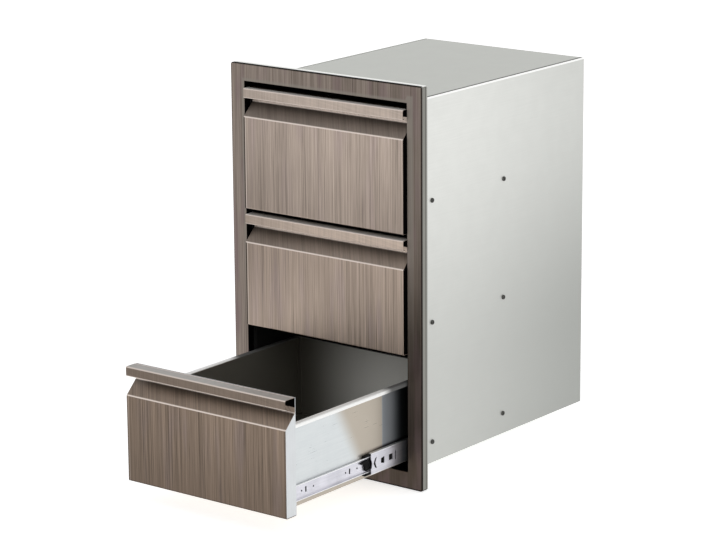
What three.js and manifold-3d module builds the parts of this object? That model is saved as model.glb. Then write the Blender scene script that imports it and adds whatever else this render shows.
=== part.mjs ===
// Triple drawer unit for a cut-out in an outdoor kitchen island, with its bottom drawer drawn out.
// Millimetres, X to the right, Y to the back, Z up. X = 0 is the middle, Y = 0 is the island's face
// behind the trim frame, and Z = 0 is the underside of the cabinet.
import * as THREE from "three";
import { mergeVertices } from "three/addons/utils/BufferGeometryUtils.js";
import Module from "manifold-3d";

// Trim frame
const frameWidth = 391;
const frameHeight = 667;
const frameBorder = 29.5;
const frameSheet = 1.2;
const frameReturn = 16;
const windowReturn = 11;
const frameCornerRadius = 4;
const frameEdgeRound = 1.1;

// Cabinet
const cabinetSheet = 1;
const cabinetDepth = 487;
const cabinetBend = 1.5;
const cabinetFlange = 12;
const panelLip = 11;
const backLip = 13;
const sideProud = 0.5;

// Drawer fronts
const frontSheet = 1;
const frontBend = 1.5;
const frontProud = 6.5;
const frontDepth = 25.5;
const frontSideGap = 2.5;
const frontTopGap = 10;
const gapsBelowFronts = [2, 3, 9.5];
const frontHeightShares = [0.328, 0.325, 0.347];
const bendDrop = 48;
const bevelRise = 23;
const barHeight = 16.5;
const barLip = 5;

// Drawer trays
const traySheet = 1;
const trayBend = 1.5;
const trayHeight = 138;
const trayOverhang = 4;
const rimWidth = 10;
const rimLip = 6;
const trayBackLip = 10;
const trayBackGap = 0.2;

// Ball bearing slides
const slideThickness = 12.7;
const slideSheet = 1.2;
const slideBend = 1.3;
const slideRaise = 34.5;
const slideAboveFloor = 23;
const slideSetback = 5;
const cabinetMemberLength = 400;
const memberShortfall = 10;
const memberSetback = 1;
const cabinetMemberHeight = 45.7;
const middleMemberHeight = 36.8;
const drawerMemberHeight = 26;
const cabinetMemberReach = 8;
const cabinetLipRun = 1.4;
const cabinetLipDrop = 2.6;
const middleWebSet = 5.6;
const middleMemberReach = 10.3;
const middleLipRun = 1.3;
const middleLipDrop = 2.3;
const drawerMemberReach = 7.9;

// Ball retainers
const retainerSheet = 0.8;
const retainerLength = 190;
const retainerGap = 0.3;
const retainerReach = 10.5;
const ballGap = 0.1;
const ballSet = 8.9;
const ballsPerRow = 5;
const ballEndMargin = 12;

// Holes and cut-outs in the slides
const screwHoleRadius = 2.3;
const roundHoleRadius = 1.7;
const slotWidth = 3.4;
const slotHeight = 9;
const holeGroupSetback = 21;
const slotOffset = 10.4;
const secondHoleOffset = 29.5;
const holeGroupPitch = 111;
const rearHoleSetback = 36;
const crescentSetback = 8;
const crescentWidth = 9;
const crescentHeight = 20;
const wedgeSetback = 26;
const wedgeWidth = 9;
const wedgeHeight = 12;
const windowSetback = 47;
const windowSize = 10;
const slitSetback = 63.5;
const slitWidth = 2.2;
const slitHeight = 15;
const noseNotchRadius = 13;
const noseNotchOffset = 10;

// Release levers
const leverLength = 26;
const leverHeight = 20;
const leverThickness = 3.2;
const leverWebGap = 0.3;
const leverPinLead = 6;
const leverPinRadius = 1.5;
const leverPinGap = 0.3;
const leverPinProud = 0.1;

// Screws
const screwHeadRadius = 3.9;
const screwHeadHeight = 2.2;
const screwShankRadius = 2;
const screwShankLength = 4.4;
const screwRecessSpan = 4.4;
const screwRecessWidth = 1.1;
const screwRecessDepth = 1.4;
const screwHeadEase = 0.7;
const frontScrewSetback = 50.5;
const screwSpacing = 200;

// Where the open drawer stands
const openMiddleTravel = 112;
const openDrawerTravel = 190;

// Clearances and tool paths
const seamGap = 0.2;
const cutOverrun = 2;

// Fineness of curves
const bendSteps = 2;
const edgeSteps = 2;
const cornerSteps = 4;
const holeSides = 8;
const headSides = 12;
const ballSides = 6;
const ballRows = 4;

// Outlines, as shares of the sizes above
const leverShares = [
  [-0.8, 0.32], [-0.82, 0.2], [-0.58, 0.22], [-0.44, 0.08], [-0.42, -0.42], [-0.3, -0.48],
  [-0.08, -0.44], [0.16, -0.3], [0.2, 0], [0.16, 0.28], [-0.1, 0.42], [-0.5, 0.4],
];
const crescentShares = [
  [0.5, 0.5], [-0.1, 0.36], [-0.5, 0], [-0.1, -0.36], [0.5, -0.5], [0.2, -0.2], [0, 0], [0.2, 0.2],
];
const wedgeShares = [[-0.5, -0.32], [0.5, -0.5], [0.5, 0.5], [-0.5, 0.32]];

// Sizes that follow from the ones above
const windowHalf = frameWidth / 2 - frameBorder;
const windowBottom = cabinetSheet;
const windowTop = windowBottom + frameHeight - 2 * frameBorder;
const frameBottom = windowBottom - frameBorder;
const frameTop = windowTop + frameBorder;
const frameFront = -frameReturn;
const cabinetFront = frameFront + windowReturn;
const cabinetHalf = windowHalf + cabinetSheet;
const frontHalf = windowHalf - frontSideGap;
const total = (lengths) => lengths.reduce((sum, length) => sum + length, 0);
const frontRoom = windowTop - windowBottom - frontTopGap - total(gapsBelowFronts);
const frontHeights = frontHeightShares.map((share) => share * frontRoom);
const slidePitch = (windowTop - windowBottom) / 3;
const frontFace = frameFront - frontProud;
const frontRear = frontFace + frontDepth;
const trayHalf = windowHalf - slideThickness;
const trayDepth = cabinetMemberLength + trayOverhang;
const movingMemberLength = cabinetMemberLength - memberShortfall;
const rearGroupPitch = movingMemberLength - holeGroupSetback - rearHoleSetback;
const leverPinSetback = movingMemberLength / 2 - leverPinLead;
const retainerSetback = memberSetback + (movingMemberLength - retainerLength) / 2;
const middleRaceInner = middleMemberHeight / 2 - slideSheet;
const drawerRaceOuter = drawerMemberHeight / 2;
const ballHeight = (middleRaceInner + drawerRaceOuter) / 2;
const ballRadius = (middleRaceInner - drawerRaceOuter) / 2 - ballGap;
const leverPinSet = slideThickness - slideSheet - leverWebGap - leverThickness - leverPinProud;

const bronzeSteel = new THREE.MeshStandardMaterial({ color: 0x8b7c70, roughness: 0.38, metalness: 0.9 });
const bareSteel = new THREE.MeshStandardMaterial({ color: 0xc9cac7, roughness: 0.34, metalness: 0.95 });
const platedSteel = new THREE.MeshStandardMaterial({ color: 0xd3d4d6, roughness: 0.28, metalness: 1 });
const darkScrew = new THREE.MeshStandardMaterial({ color: 0x5a5b59, roughness: 0.4, metalness: 0.9 });
const blackPlastic = new THREE.MeshStandardMaterial({ color: 0x161617, roughness: 0.5, metalness: 0 });

const wasm = await Module();
wasm.setup();

const xAxis = new THREE.Vector3(1, 0, 0);
const yAxis = new THREE.Vector3(0, 1, 0);
const zAxis = new THREE.Vector3(0, 0, 1);
const outlineToYZ = new THREE.Matrix4().makeBasis(yAxis, zAxis, xAxis);
const outlineToXZ = new THREE.Matrix4().makeBasis(xAxis, zAxis, yAxis.clone().negate());

// A closed mesh as a solid for booleans
function solid(geometry) {
  geometry.deleteAttribute("normal");
  geometry.deleteAttribute("uv");
  const merged = mergeVertices(geometry);
  const mesh = new wasm.Mesh({
    numProp: 3,
    vertProperties: new Float32Array(merged.attributes.position.array),
    triVerts: new Uint32Array(merged.index.array),
  });
  return new wasm.Manifold(mesh);
}

// A solid as a flat-shaded named mesh
function named(name, body, material) {
  const mesh = body.getMesh();
  const shared = new THREE.BufferGeometry();
  shared.setAttribute("position", new THREE.BufferAttribute(mesh.vertProperties, 3));
  shared.setIndex(new THREE.BufferAttribute(mesh.triVerts, 1));
  const geometry = shared.toNonIndexed();
  geometry.computeVertexNormals();
  const piece = new THREE.Mesh(geometry, material);
  piece.name = name;
  return piece;
}

const toPoint = ([a, b]) => new THREE.Vector2(a, b);

// A path whose corners are turned into arcs
function withBends(corners, radius) {
  const points = corners.map(toPoint);
  const path = [points[0]];
  for (let i = 1; i < points.length - 1; i += 1) {
    const back = points[i - 1].clone().sub(points[i]).normalize();
    const ahead = points[i + 1].clone().sub(points[i]).normalize();
    const halfAngle = Math.acos(back.dot(ahead)) / 2;
    const tangent = radius / Math.tan(halfAngle);
    const centreDirection = back.clone().add(ahead).normalize();
    const centre = points[i].clone().addScaledVector(centreDirection, radius / Math.sin(halfAngle));
    const start = points[i].clone().addScaledVector(back, tangent).sub(centre);
    const turn = Math.sign(back.cross(ahead)) * -(Math.PI - 2 * halfAngle);
    for (let step = 0; step <= bendSteps; step += 1) {
      const angle = (turn * step) / bendSteps;
      path.push(start.clone().rotateAround(new THREE.Vector2(), angle).add(centre));
    }
  }
  path.push(points[points.length - 1]);
  return path;
}

// A path moved sideways to its left, with mitred corners
function movedSideways(path, distance) {
  return path.map((point, i) => {
    const before = path[Math.max(i - 1, 0)];
    const after = path[Math.min(i + 1, path.length - 1)];
    const incoming = (i > 0 ? point.clone().sub(before) : after.clone().sub(point)).normalize();
    const outgoing = (i < path.length - 1 ? after.clone().sub(point) : incoming.clone()).normalize();
    const firstNormal = new THREE.Vector2(-incoming.y, incoming.x);
    const secondNormal = new THREE.Vector2(-outgoing.y, outgoing.x);
    const mitre = firstNormal.clone().add(secondNormal).normalize();
    return point.clone().addScaledVector(mitre, distance / mitre.dot(firstNormal));
  });
}

// The outline of a folded sheet, from the line through the middle of its thickness
function foldedSheet(corners, sheet, bend) {
  const path = withBends(corners, bend);
  const left = movedSideways(path, sheet / 2);
  const right = movedSideways(path, -sheet / 2);
  return [...left, ...right.reverse()];
}

const shapeOf = (outline) => new THREE.Shape(outline);

function extruded(shape, length) {
  return new THREE.ExtrudeGeometry(shape, { depth: length, bevelEnabled: false });
}

// Outline in Y and Z, drawn out along X
function alongX(outline, from, to) {
  const geometry = extruded(shapeOf(outline), to - from);
  geometry.applyMatrix4(outlineToYZ);
  geometry.translate(from, 0, 0);
  return solid(geometry);
}

// Outline in X and Z, drawn out along Y
function alongY(outline, from, to) {
  const geometry = extruded(shapeOf(outline), to - from);
  geometry.applyMatrix4(outlineToXZ);
  geometry.translate(0, to, 0);
  return solid(geometry);
}

// Outline in X and Y, drawn out along Z
function alongZ(outline, from, to) {
  const geometry = extruded(shapeOf(outline), to - from);
  geometry.translate(0, 0, from);
  return solid(geometry);
}

function block(xFrom, xTo, yFrom, yTo, zFrom, zTo) {
  const geometry = new THREE.BoxGeometry(xTo - xFrom, yTo - yFrom, zTo - zFrom);
  geometry.translate((xFrom + xTo) / 2, (yFrom + yTo) / 2, (zFrom + zTo) / 2);
  return solid(geometry);
}

// Round bar along X
function barAlongX(radius, xFrom, xTo, y, z, sides) {
  const geometry = new THREE.CylinderGeometry(radius, radius, Math.abs(xTo - xFrom), sides);
  geometry.rotateZ(Math.PI / 2);
  geometry.translate((xFrom + xTo) / 2, y, z);
  return solid(geometry);
}

function rectangle(halfWidth, bottom, top) {
  return [[-halfWidth, bottom], [halfWidth, bottom], [halfWidth, top], [-halfWidth, top]].map(toPoint);
}

function roundedRectangle(halfWidth, bottom, top, radius) {
  const centres = [
    [halfWidth - radius, bottom + radius], [halfWidth - radius, top - radius],
    [-halfWidth + radius, top - radius], [-halfWidth + radius, bottom + radius],
  ];
  const points = [];
  centres.forEach(([x, z], corner) => {
    for (let step = 0; step <= cornerSteps; step += 1) {
      const angle = (Math.PI / 2) * (corner - 1 + step / cornerSteps);
      points.push(toPoint([x + radius * Math.cos(angle), z + radius * Math.sin(angle)]));
    }
  });
  return points;
}

// Border of folded sheet round the window, with a return at its outer and at its inner edge
function trimFrame() {
  const half = frameWidth / 2;
  const shape = shapeOf(roundedRectangle(half, frameBottom, frameTop, frameCornerRadius));
  shape.holes.push(new THREE.Path(rectangle(windowHalf, windowBottom, windowTop)));
  const geometry = new THREE.ExtrudeGeometry(shape, {
    depth: frameReturn,
    bevelSize: frameEdgeRound,
    bevelThickness: frameEdgeRound,
    bevelOffset: -frameEdgeRound,
    bevelSegments: edgeSteps,
  });
  geometry.applyMatrix4(outlineToXZ);
  geometry.translate(0, frameEdgeRound, 0);
  const insideBottom = frameBottom + frameSheet;
  const insideTop = frameTop - frameSheet;
  const insideRadius = frameCornerRadius - frameSheet;
  const pocket = roundedRectangle(half - frameSheet, insideBottom, insideTop, insideRadius);
  const hollow = alongY(pocket, frameFront + frameSheet, 2 * frameReturn);
  const liningHalf = windowHalf + frameSheet;
  const lining = rectangle(liningHalf, windowBottom - frameSheet, windowTop + frameSheet);
  const kept = alongY(lining, frameFront, cabinetFront);
  const behind = block(-frameWidth, frameWidth, 0, 2 * frameReturn, -frameHeight, 2 * frameHeight);
  return solid(geometry).subtract(hollow.subtract(kept)).subtract(behind);
}

// Side panel with a flange that stands behind the frame and holes for the slides' screws
function cabinetSide(side) {
  const x = side * (windowHalf + cabinetSheet / 2);
  const flangeLine = cabinetFront + cabinetSheet / 2;
  const corners = [[x + side * cabinetFlange, flangeLine], [x, flangeLine], [x, cabinetDepth]];
  const top = windowTop + cabinetSheet + sideProud;
  let panel = alongZ(foldedSheet(corners, cabinetSheet, cabinetBend), 0, top);
  for (const drawer of drawers) {
    for (const y of screwPlaces) {
      panel = panel.subtract(screwHole(side, y, drawer.slideHeight));
    }
  }
  return panel;
}

function screwHole(side, y, z) {
  const inner = side * (windowHalf - slideSheet - cutOverrun);
  return barAlongX(screwHoleRadius, inner, side * (cabinetHalf + cutOverrun), y, z, holeSides);
}

// Top or bottom panel: it lies between the sides on folded lips, and its flange stands behind the frame
function cabinetLid(face, outward) {
  const reach = windowHalf - seamGap;
  const x = reach - cabinetSheet / 2;
  const z = face + (outward * cabinetSheet) / 2;
  const lipEnd = face - outward * panelLip;
  const corners = [[-x, lipEnd], [-x, z], [x, z], [x, lipEnd]];
  const lid = alongY(foldedSheet(corners, cabinetSheet, cabinetBend), cabinetFront, cabinetDepth);
  const flangeEnd = face + outward * cabinetFlange;
  const flangeTop = Math.max(face, flangeEnd);
  const flangeBottom = Math.min(face, flangeEnd);
  const flangeRear = cabinetFront + cabinetSheet;
  const flangeReach = reach - cabinetBend - cabinetSheet;
  const flange = block(-flangeReach, flangeReach, cabinetFront, flangeRear, flangeBottom, flangeTop);
  return lid.add(flange);
}

// Back panel with a lip along each side panel
function cabinetBack() {
  const reach = windowHalf - seamGap;
  const x = reach - cabinetSheet / 2;
  const y = cabinetDepth - cabinetSheet / 2;
  const corners = [[x, y - backLip], [x, y], [-x, y], [-x, y - backLip]];
  const folded = foldedSheet(corners, cabinetSheet, cabinetBend);
  const lips = alongZ(folded, windowBottom + backLip, windowTop - backLip);
  const plateReach = reach - cabinetBend - cabinetSheet;
  const plateFront = cabinetDepth - cabinetSheet;
  return lips.add(block(-plateReach, plateReach, plateFront, cabinetDepth, windowBottom, windowTop));
}

// Pan-head screw through the side panel into the slide
function slideScrew(side, y, z) {
  const profile = [
    [0, 0], [screwHeadRadius, 0], [screwHeadRadius, screwHeadHeight - screwHeadEase],
    [screwHeadRadius - screwHeadEase, screwHeadHeight], [0, screwHeadHeight],
  ].map(toPoint);
  const head = new THREE.LatheGeometry(profile, headSides);
  head.rotateZ((-side * Math.PI) / 2);
  head.translate(side * cabinetHalf, y, z);
  const shankEnd = side * (cabinetHalf - screwShankLength);
  const shankStart = side * (cabinetHalf + screwHeadHeight / 2);
  const shank = barAlongX(screwShankRadius, shankEnd, shankStart, y, z, holeSides);
  const outside = side * (cabinetHalf + screwHeadHeight + cutOverrun);
  const recessEnd = side * (cabinetHalf + screwHeadHeight - screwRecessDepth);
  const xFrom = Math.min(outside, recessEnd);
  const xTo = Math.max(outside, recessEnd);
  const long = screwRecessSpan / 2;
  const narrow = screwRecessWidth / 2;
  const upright = block(xFrom, xTo, y - narrow, y + narrow, z - long, z + long);
  const level = block(xFrom, xTo, y - long, y + long, z - narrow, z + narrow);
  return solid(head).add(shank).subtract(upright).subtract(level);
}

// The line through the middle of the brown sheet, from its bottom hem up and round the handle bar
function skinCorners(bottom, height) {
  const faceLine = frontFace + frontSheet / 2;
  const plateFront = frontRear - frontSheet;
  const stripLine = plateFront - frontSheet / 2;
  const bottomLine = bottom + frontSheet / 2;
  const topLine = bottom + height - frontSheet / 2;
  const bendLine = bottom + height - bendDrop;
  const barBottom = bottom + height - barHeight + frontSheet / 2;
  return [
    [plateFront - seamGap, bottomLine], [faceLine, bottomLine], [faceLine, bendLine],
    [stripLine, bendLine + bevelRise], [stripLine, topLine], [faceLine, topLine],
    [faceLine, barBottom], [faceLine + barLip, barBottom],
  ];
}

// Brown sheet folded into the face, the slanted finger recess and the handle bar
function frontSkin(bottom, height) {
  const profile = foldedSheet(skinCorners(bottom, height), frontSheet, frontBend);
  return alongX(profile, -frontHalf, frontHalf);
}

// Bare pan behind the brown sheet: back plate and two side flanges that follow the recess
function frontLiner(bottom, height) {
  const top = bottom + height;
  const plateFront = frontRear - frontSheet;
  const plate = block(-frontHalf, frontHalf, plateFront, frontRear, bottom, top);
  const faceInner = frontFace + frontSheet;
  const bendLine = top - bendDrop;
  const cheek = [
    [faceInner, bottom + frontBend], [faceInner + frontBend, bottom], [frontRear, bottom],
    [frontRear, bendLine + bevelRise], [plateFront, bendLine + bevelRise], [faceInner, bendLine],
  ].map(toPoint);
  const right = alongX(cheek, frontHalf - frontSheet, frontHalf);
  const left = alongX(cheek, -frontHalf, -frontHalf + frontSheet);
  const roomLine = foldedSheet(skinCorners(bottom, height), frontSheet + 2 * seamGap, frontBend);
  const room = alongX(roomLine, -frontHalf - cutOverrun, frontHalf + cutOverrun);
  return right.add(left).subtract(room).add(plate);
}

// Floor, side walls with rolled rims, and front wall, folded from one sheet
function tray(bottom, shift) {
  const wall = trayHalf - traySheet / 2;
  const floorLine = bottom + traySheet / 2;
  const rimLine = bottom + trayHeight - traySheet / 2;
  const rimEdge = wall + rimWidth;
  const lipEnd = bottom + trayHeight - rimLip;
  const corners = [
    [-rimEdge, lipEnd], [-rimEdge, rimLine], [-wall, rimLine], [-wall, floorLine],
    [wall, floorLine], [wall, rimLine], [rimEdge, rimLine], [rimEdge, lipEnd],
  ];
  const front = frontRear - shift;
  const walls = alongY(foldedSheet(corners, traySheet, trayBend), front, front + trayDepth);
  const plateTop = bottom + trayHeight - trayBend;
  const plateReach = trayHalf - traySheet / 2;
  const plateBottom = bottom + trayBend;
  const plate = block(-plateReach, plateReach, front, front + traySheet, plateBottom, plateTop);
  return walls.add(plate);
}

// Rear wall of a tray, with a lip along each side wall that stops above the bend of the floor
function trayBack(bottom, shift) {
  const reach = trayHalf - traySheet - trayBackGap - traySheet / 2;
  const rear = frontRear - shift + trayDepth;
  const line = rear - traySheet / 2;
  const corners = [[reach, line - trayBackLip], [reach, line], [-reach, line], [-reach, line - trayBackLip]];
  const lipBottom = bottom + traySheet + trayBend;
  const lips = alongZ(foldedSheet(corners, traySheet, trayBend), lipBottom, bottom + trayHeight);
  const foot = reach - trayBend;
  const footBottom = bottom + traySheet + trayBackGap;
  return lips.add(block(-foot, foot, rear - traySheet, rear, footBottom, lipBottom + traySheet));
}

// Both halves of a slide profile, from its upper half
function bothHalves(upper, side, height) {
  const place = ([s, h]) => [side * (windowHalf - s), height + h];
  const lower = upper.map(([s, h]) => [s, -h]).reverse();
  return [...upper, ...lower].map(place);
}

// Member screwed to the cabinet's side panel
function cabinetMember(side, height) {
  const line = cabinetMemberHeight / 2 - slideSheet / 2;
  const lip = [cabinetMemberReach + cabinetLipRun, line - cabinetLipDrop];
  const upper = [lip, [cabinetMemberReach, line], [slideSheet / 2, line]];
  const profile = foldedSheet(bothHalves(upper, side, height), slideSheet, slideBend);
  let member = alongY(profile, slideSetback, slideSetback + cabinetMemberLength);
  for (const y of screwPlaces) {
    member = member.subtract(screwHole(side, y, height));
  }
  return member;
}

// A cut through the middle member's web, from an outline in shares of its width and height
function webCut(side, shares, width, height, y, z) {
  const outline = shares.map(([along, up]) => toPoint([y + along * width, z + side * up * height]));
  const near = side * (windowHalf - middleWebSet + slideSheet);
  const far = side * (windowHalf - middleWebSet - slideSheet);
  return alongX(outline, Math.min(near, far), Math.max(near, far));
}

// Member that runs between the other two
function middleMember(side, height, shift) {
  const line = middleMemberHeight / 2 - slideSheet / 2;
  const lip = [middleMemberReach + middleLipRun, line - middleLipDrop];
  const upper = [lip, [middleMemberReach, line], [middleWebSet, line]];
  const profile = foldedSheet(bothHalves(upper, side, height), slideSheet, slideBend);
  const front = slideSetback + memberSetback - shift;
  const square = [[-0.5, -0.5], [0.5, -0.5], [0.5, 0.5], [-0.5, 0.5]];
  const crescentPlace = front + crescentSetback + noseNotchRadius - noseNotchOffset;
  const wedgePlace = front + wedgeSetback + wedgeWidth / 2;
  const windowPlace = front + windowSetback + windowSize / 2;
  const slitPlace = front + slitSetback + slitWidth / 2;
  const nosePlace = front - noseNotchOffset;
  const noseFrom = side * (windowHalf - middleWebSet - slideSheet);
  const noseTo = side * (windowHalf - middleWebSet + slideSheet);
  return alongY(profile, front, front + movingMemberLength)
    .subtract(webCut(side, crescentShares, crescentWidth, crescentHeight, crescentPlace, height))
    .subtract(webCut(side, wedgeShares, wedgeWidth, wedgeHeight, wedgePlace, height))
    .subtract(webCut(side, square, windowSize, windowSize, windowPlace, height))
    .subtract(webCut(side, square, slitWidth, slitHeight, slitPlace, height))
    .subtract(barAlongX(noseNotchRadius, noseFrom, noseTo, nosePlace, height, headSides));
}

// A cut through the drawer member's web
function drawerWebCut(side, y, height, halfWidth, halfHeight) {
  const near = side * (windowHalf - slideThickness - cutOverrun);
  const far = side * (windowHalf - slideThickness + slideSheet + cutOverrun);
  const xFrom = Math.min(near, far);
  const xTo = Math.max(near, far);
  return block(xFrom, xTo, y - halfWidth, y + halfWidth, height - halfHeight, height + halfHeight);
}

// Member fixed to the tray, with the pin its release lever turns on
function drawerMember(side, height, shift) {
  const line = drawerMemberHeight / 2 - slideSheet / 2;
  const upper = [[drawerMemberReach, line], [slideThickness - slideSheet / 2, line]];
  const profile = foldedSheet(bothHalves(upper, side, height), slideSheet, slideBend);
  const front = slideSetback + memberSetback - shift;
  let member = alongY(profile, front, front + movingMemberLength);
  const web = side * (windowHalf - slideThickness);
  for (const pitch of [0, holeGroupPitch, rearGroupPitch]) {
    const first = front + holeGroupSetback + pitch;
    const holeTo = web + side * (slideSheet + cutOverrun);
    for (const y of [first, first + secondHoleOffset]) {
      const hole = barAlongX(roundHoleRadius, web - side * cutOverrun, holeTo, y, height, holeSides);
      member = member.subtract(hole);
    }
    const slot = drawerWebCut(side, first + slotOffset, height, slotWidth / 2, slotHeight / 2);
    member = member.subtract(slot);
  }
  const pinEnd = side * (windowHalf - leverPinSet);
  const pinStart = web + (side * slideSheet) / 2;
  const pinPlace = front + leverPinSetback;
  return member.add(barAlongX(leverPinRadius, pinStart, pinEnd, pinPlace, height, holeSides));
}

// Lever that unlatches the drawer member from the middle member
function releaseLever(side, height, shift) {
  const place = slideSetback + memberSetback - shift + leverPinSetback;
  const points = leverShares.map(([along, up]) => [along * leverLength, side * up * leverHeight]);
  const outline = points.map(([along, up]) => toPoint([place + along, height + up]));
  const inner = side * (windowHalf - slideThickness + slideSheet + leverWebGap);
  const outer = inner + side * leverThickness;
  const body = alongX(outline, Math.min(inner, outer), Math.max(inner, outer));
  const boreFrom = inner - side * cutOverrun;
  const boreTo = outer + side * cutOverrun;
  const boreRadius = leverPinRadius + leverPinGap;
  return body.subtract(barAlongX(boreRadius, boreFrom, boreTo, place, height, holeSides));
}

// Channel that carries the two rows of balls between the middle and the drawer member
function ballRetainer(side, height, shift) {
  const web = middleWebSet + slideSheet / 2 + retainerGap + retainerSheet / 2;
  const upper = [[retainerReach, ballHeight], [web, ballHeight]];
  const profile = foldedSheet(bothHalves(upper, side, height), retainerSheet, slideSheet);
  const front = slideSetback + memberSetback + retainerSetback - shift;
  let retainer = alongY(profile, front, front + retainerLength);
  const pitch = (retainerLength - 2 * ballEndMargin) / (ballsPerRow - 1);
  for (let i = 0; i < ballsPerRow; i += 1) {
    for (const up of [-ballHeight, ballHeight]) {
      const ball = new THREE.SphereGeometry(ballRadius, ballSides, ballRows);
      ball.rotateX(Math.PI / 2);
      ball.translate(side * (windowHalf - ballSet), front + ballEndMargin + i * pitch, height + up);
      retainer = retainer.add(solid(ball));
    }
  }
  return retainer;
}

// The three drawers from the bottom up, with how far their middle members and trays stand out
const drawers = ["bottom", "middle", "top"].map((name, row) => {
  const gapsBelow = total(gapsBelowFronts.slice(0, row + 1));
  const frontsBelow = total(frontHeights.slice(0, row));
  const slideHeight = windowBottom + slideRaise + row * slidePitch;
  const isOpen = name === "bottom";
  return {
    name,
    frontBottom: windowBottom + gapsBelow + frontsBelow,
    frontHeight: frontHeights[row],
    slideHeight,
    trayBottom: slideHeight - slideAboveFloor,
    middleShift: isOpen ? openMiddleTravel : 0,
    drawerShift: isOpen ? openMiddleTravel + openDrawerTravel : 0,
  };
});
const screwPlaces = [frontScrewSetback, frontScrewSetback + screwSpacing];
const sides = [["left", -1], ["right", 1]];

const unit = new THREE.Group();
unit.name = "triple_drawer_unit";

unit.add(named("trim_frame", trimFrame(), bronzeSteel));
unit.add(named("cabinet_top", cabinetLid(windowTop, 1), bareSteel));
unit.add(named("cabinet_bottom", cabinetLid(windowBottom, -1), bareSteel));
unit.add(named("cabinet_back", cabinetBack(), bareSteel));

for (const [sideName, side] of sides) {
  unit.add(named(`cabinet_side_${sideName}`, cabinetSide(side), bareSteel));
  for (const drawer of drawers) {
    screwPlaces.forEach((y, i) => {
      const screwName = `screw_${sideName}_${drawer.name}_${i ? "rear" : "front"}`;
      unit.add(named(screwName, slideScrew(side, y, drawer.slideHeight), darkScrew));
    });
  }
}

for (const drawer of drawers) {
  const { name, frontBottom, frontHeight, slideHeight, trayBottom, middleShift, drawerShift } = drawer;
  const skin = frontSkin(frontBottom, frontHeight).translate([0, -drawerShift, 0]);
  const liner = frontLiner(frontBottom, frontHeight).translate([0, -drawerShift, 0]);
  unit.add(named(`${name}_front_skin`, skin, bronzeSteel));
  unit.add(named(`${name}_front_liner`, liner, bareSteel));
  unit.add(named(`${name}_tray`, tray(trayBottom, drawerShift), bareSteel));
  unit.add(named(`${name}_tray_back`, trayBack(trayBottom, drawerShift), bareSteel));
  const retainerShift = (middleShift + drawerShift) / 2;
  for (const [sideName, side] of sides) {
    const label = `${name}_${sideName}`;
    const lever = releaseLever(side, slideHeight, drawerShift);
    const retainer = ballRetainer(side, slideHeight, retainerShift);
    unit.add(named(`${label}_cabinet_member`, cabinetMember(side, slideHeight), platedSteel));
    unit.add(named(`${label}_middle_member`, middleMember(side, slideHeight, middleShift), platedSteel));
    unit.add(named(`${label}_drawer_member`, drawerMember(side, slideHeight, drawerShift), platedSteel));
    unit.add(named(`${label}_release_lever`, lever, blackPlastic));
    unit.add(named(`${label}_ball_retainer`, retainer, platedSteel));
  }
}

export default unit;
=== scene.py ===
# %% [markdown]
# # Looks of an outdoor kitchen drawer unit
# The unit is sheet steel: a brown brushed frame and brown brushed fronts, and a bare steel box with three
# drawers on ball bearing slides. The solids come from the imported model. This notebook adds finer folded
# sheets, screws, levers and balls, and a procedural finish for every surface.

# %% Load the frame
import math
from types import SimpleNamespace

import bmesh
import bpy
import numpy as np
from mathutils import Matrix, Vector


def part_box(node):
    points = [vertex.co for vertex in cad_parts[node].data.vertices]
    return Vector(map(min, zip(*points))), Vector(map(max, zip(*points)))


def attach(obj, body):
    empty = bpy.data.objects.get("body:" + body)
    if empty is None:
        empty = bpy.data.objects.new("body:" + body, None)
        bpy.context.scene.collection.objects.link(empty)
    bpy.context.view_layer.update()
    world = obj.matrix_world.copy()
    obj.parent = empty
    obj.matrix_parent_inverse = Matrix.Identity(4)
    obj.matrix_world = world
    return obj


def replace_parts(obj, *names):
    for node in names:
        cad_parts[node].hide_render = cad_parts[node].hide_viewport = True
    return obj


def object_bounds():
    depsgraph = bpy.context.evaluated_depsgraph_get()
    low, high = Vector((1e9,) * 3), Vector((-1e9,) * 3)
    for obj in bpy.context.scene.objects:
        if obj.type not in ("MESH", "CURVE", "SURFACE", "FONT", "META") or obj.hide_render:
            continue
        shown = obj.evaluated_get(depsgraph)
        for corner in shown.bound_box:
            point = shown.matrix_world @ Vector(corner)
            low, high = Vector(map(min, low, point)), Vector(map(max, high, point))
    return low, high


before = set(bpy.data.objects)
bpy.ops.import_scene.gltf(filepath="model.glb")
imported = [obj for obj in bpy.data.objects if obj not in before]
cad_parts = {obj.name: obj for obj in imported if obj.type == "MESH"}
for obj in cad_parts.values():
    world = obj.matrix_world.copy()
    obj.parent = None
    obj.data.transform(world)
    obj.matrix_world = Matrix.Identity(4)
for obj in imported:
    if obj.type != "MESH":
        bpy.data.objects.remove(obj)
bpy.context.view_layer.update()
scene = bpy.context.scene

# %% [markdown]
# ## Camera
# A long lens from the right and slightly above keeps the edges nearly parallel, as in a catalogue picture.
# Its place came from a least-squares fit to edges of the real unit. The axes are worked out from the turn,
# tilt and roll, so the camera needs no target and no constraint.

# %% Camera
IMAGE_WIDTH = 716
FOCAL_PIXELS = 2979.1
SENSOR_WIDTH = 36.0
CAMERA_PLACE = Vector((2.9386, -3.7027, 1.5000))
CAMERA_TURN, CAMERA_TILT, CAMERA_ROLL = 0.6617, -0.2465, -0.0076

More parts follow.
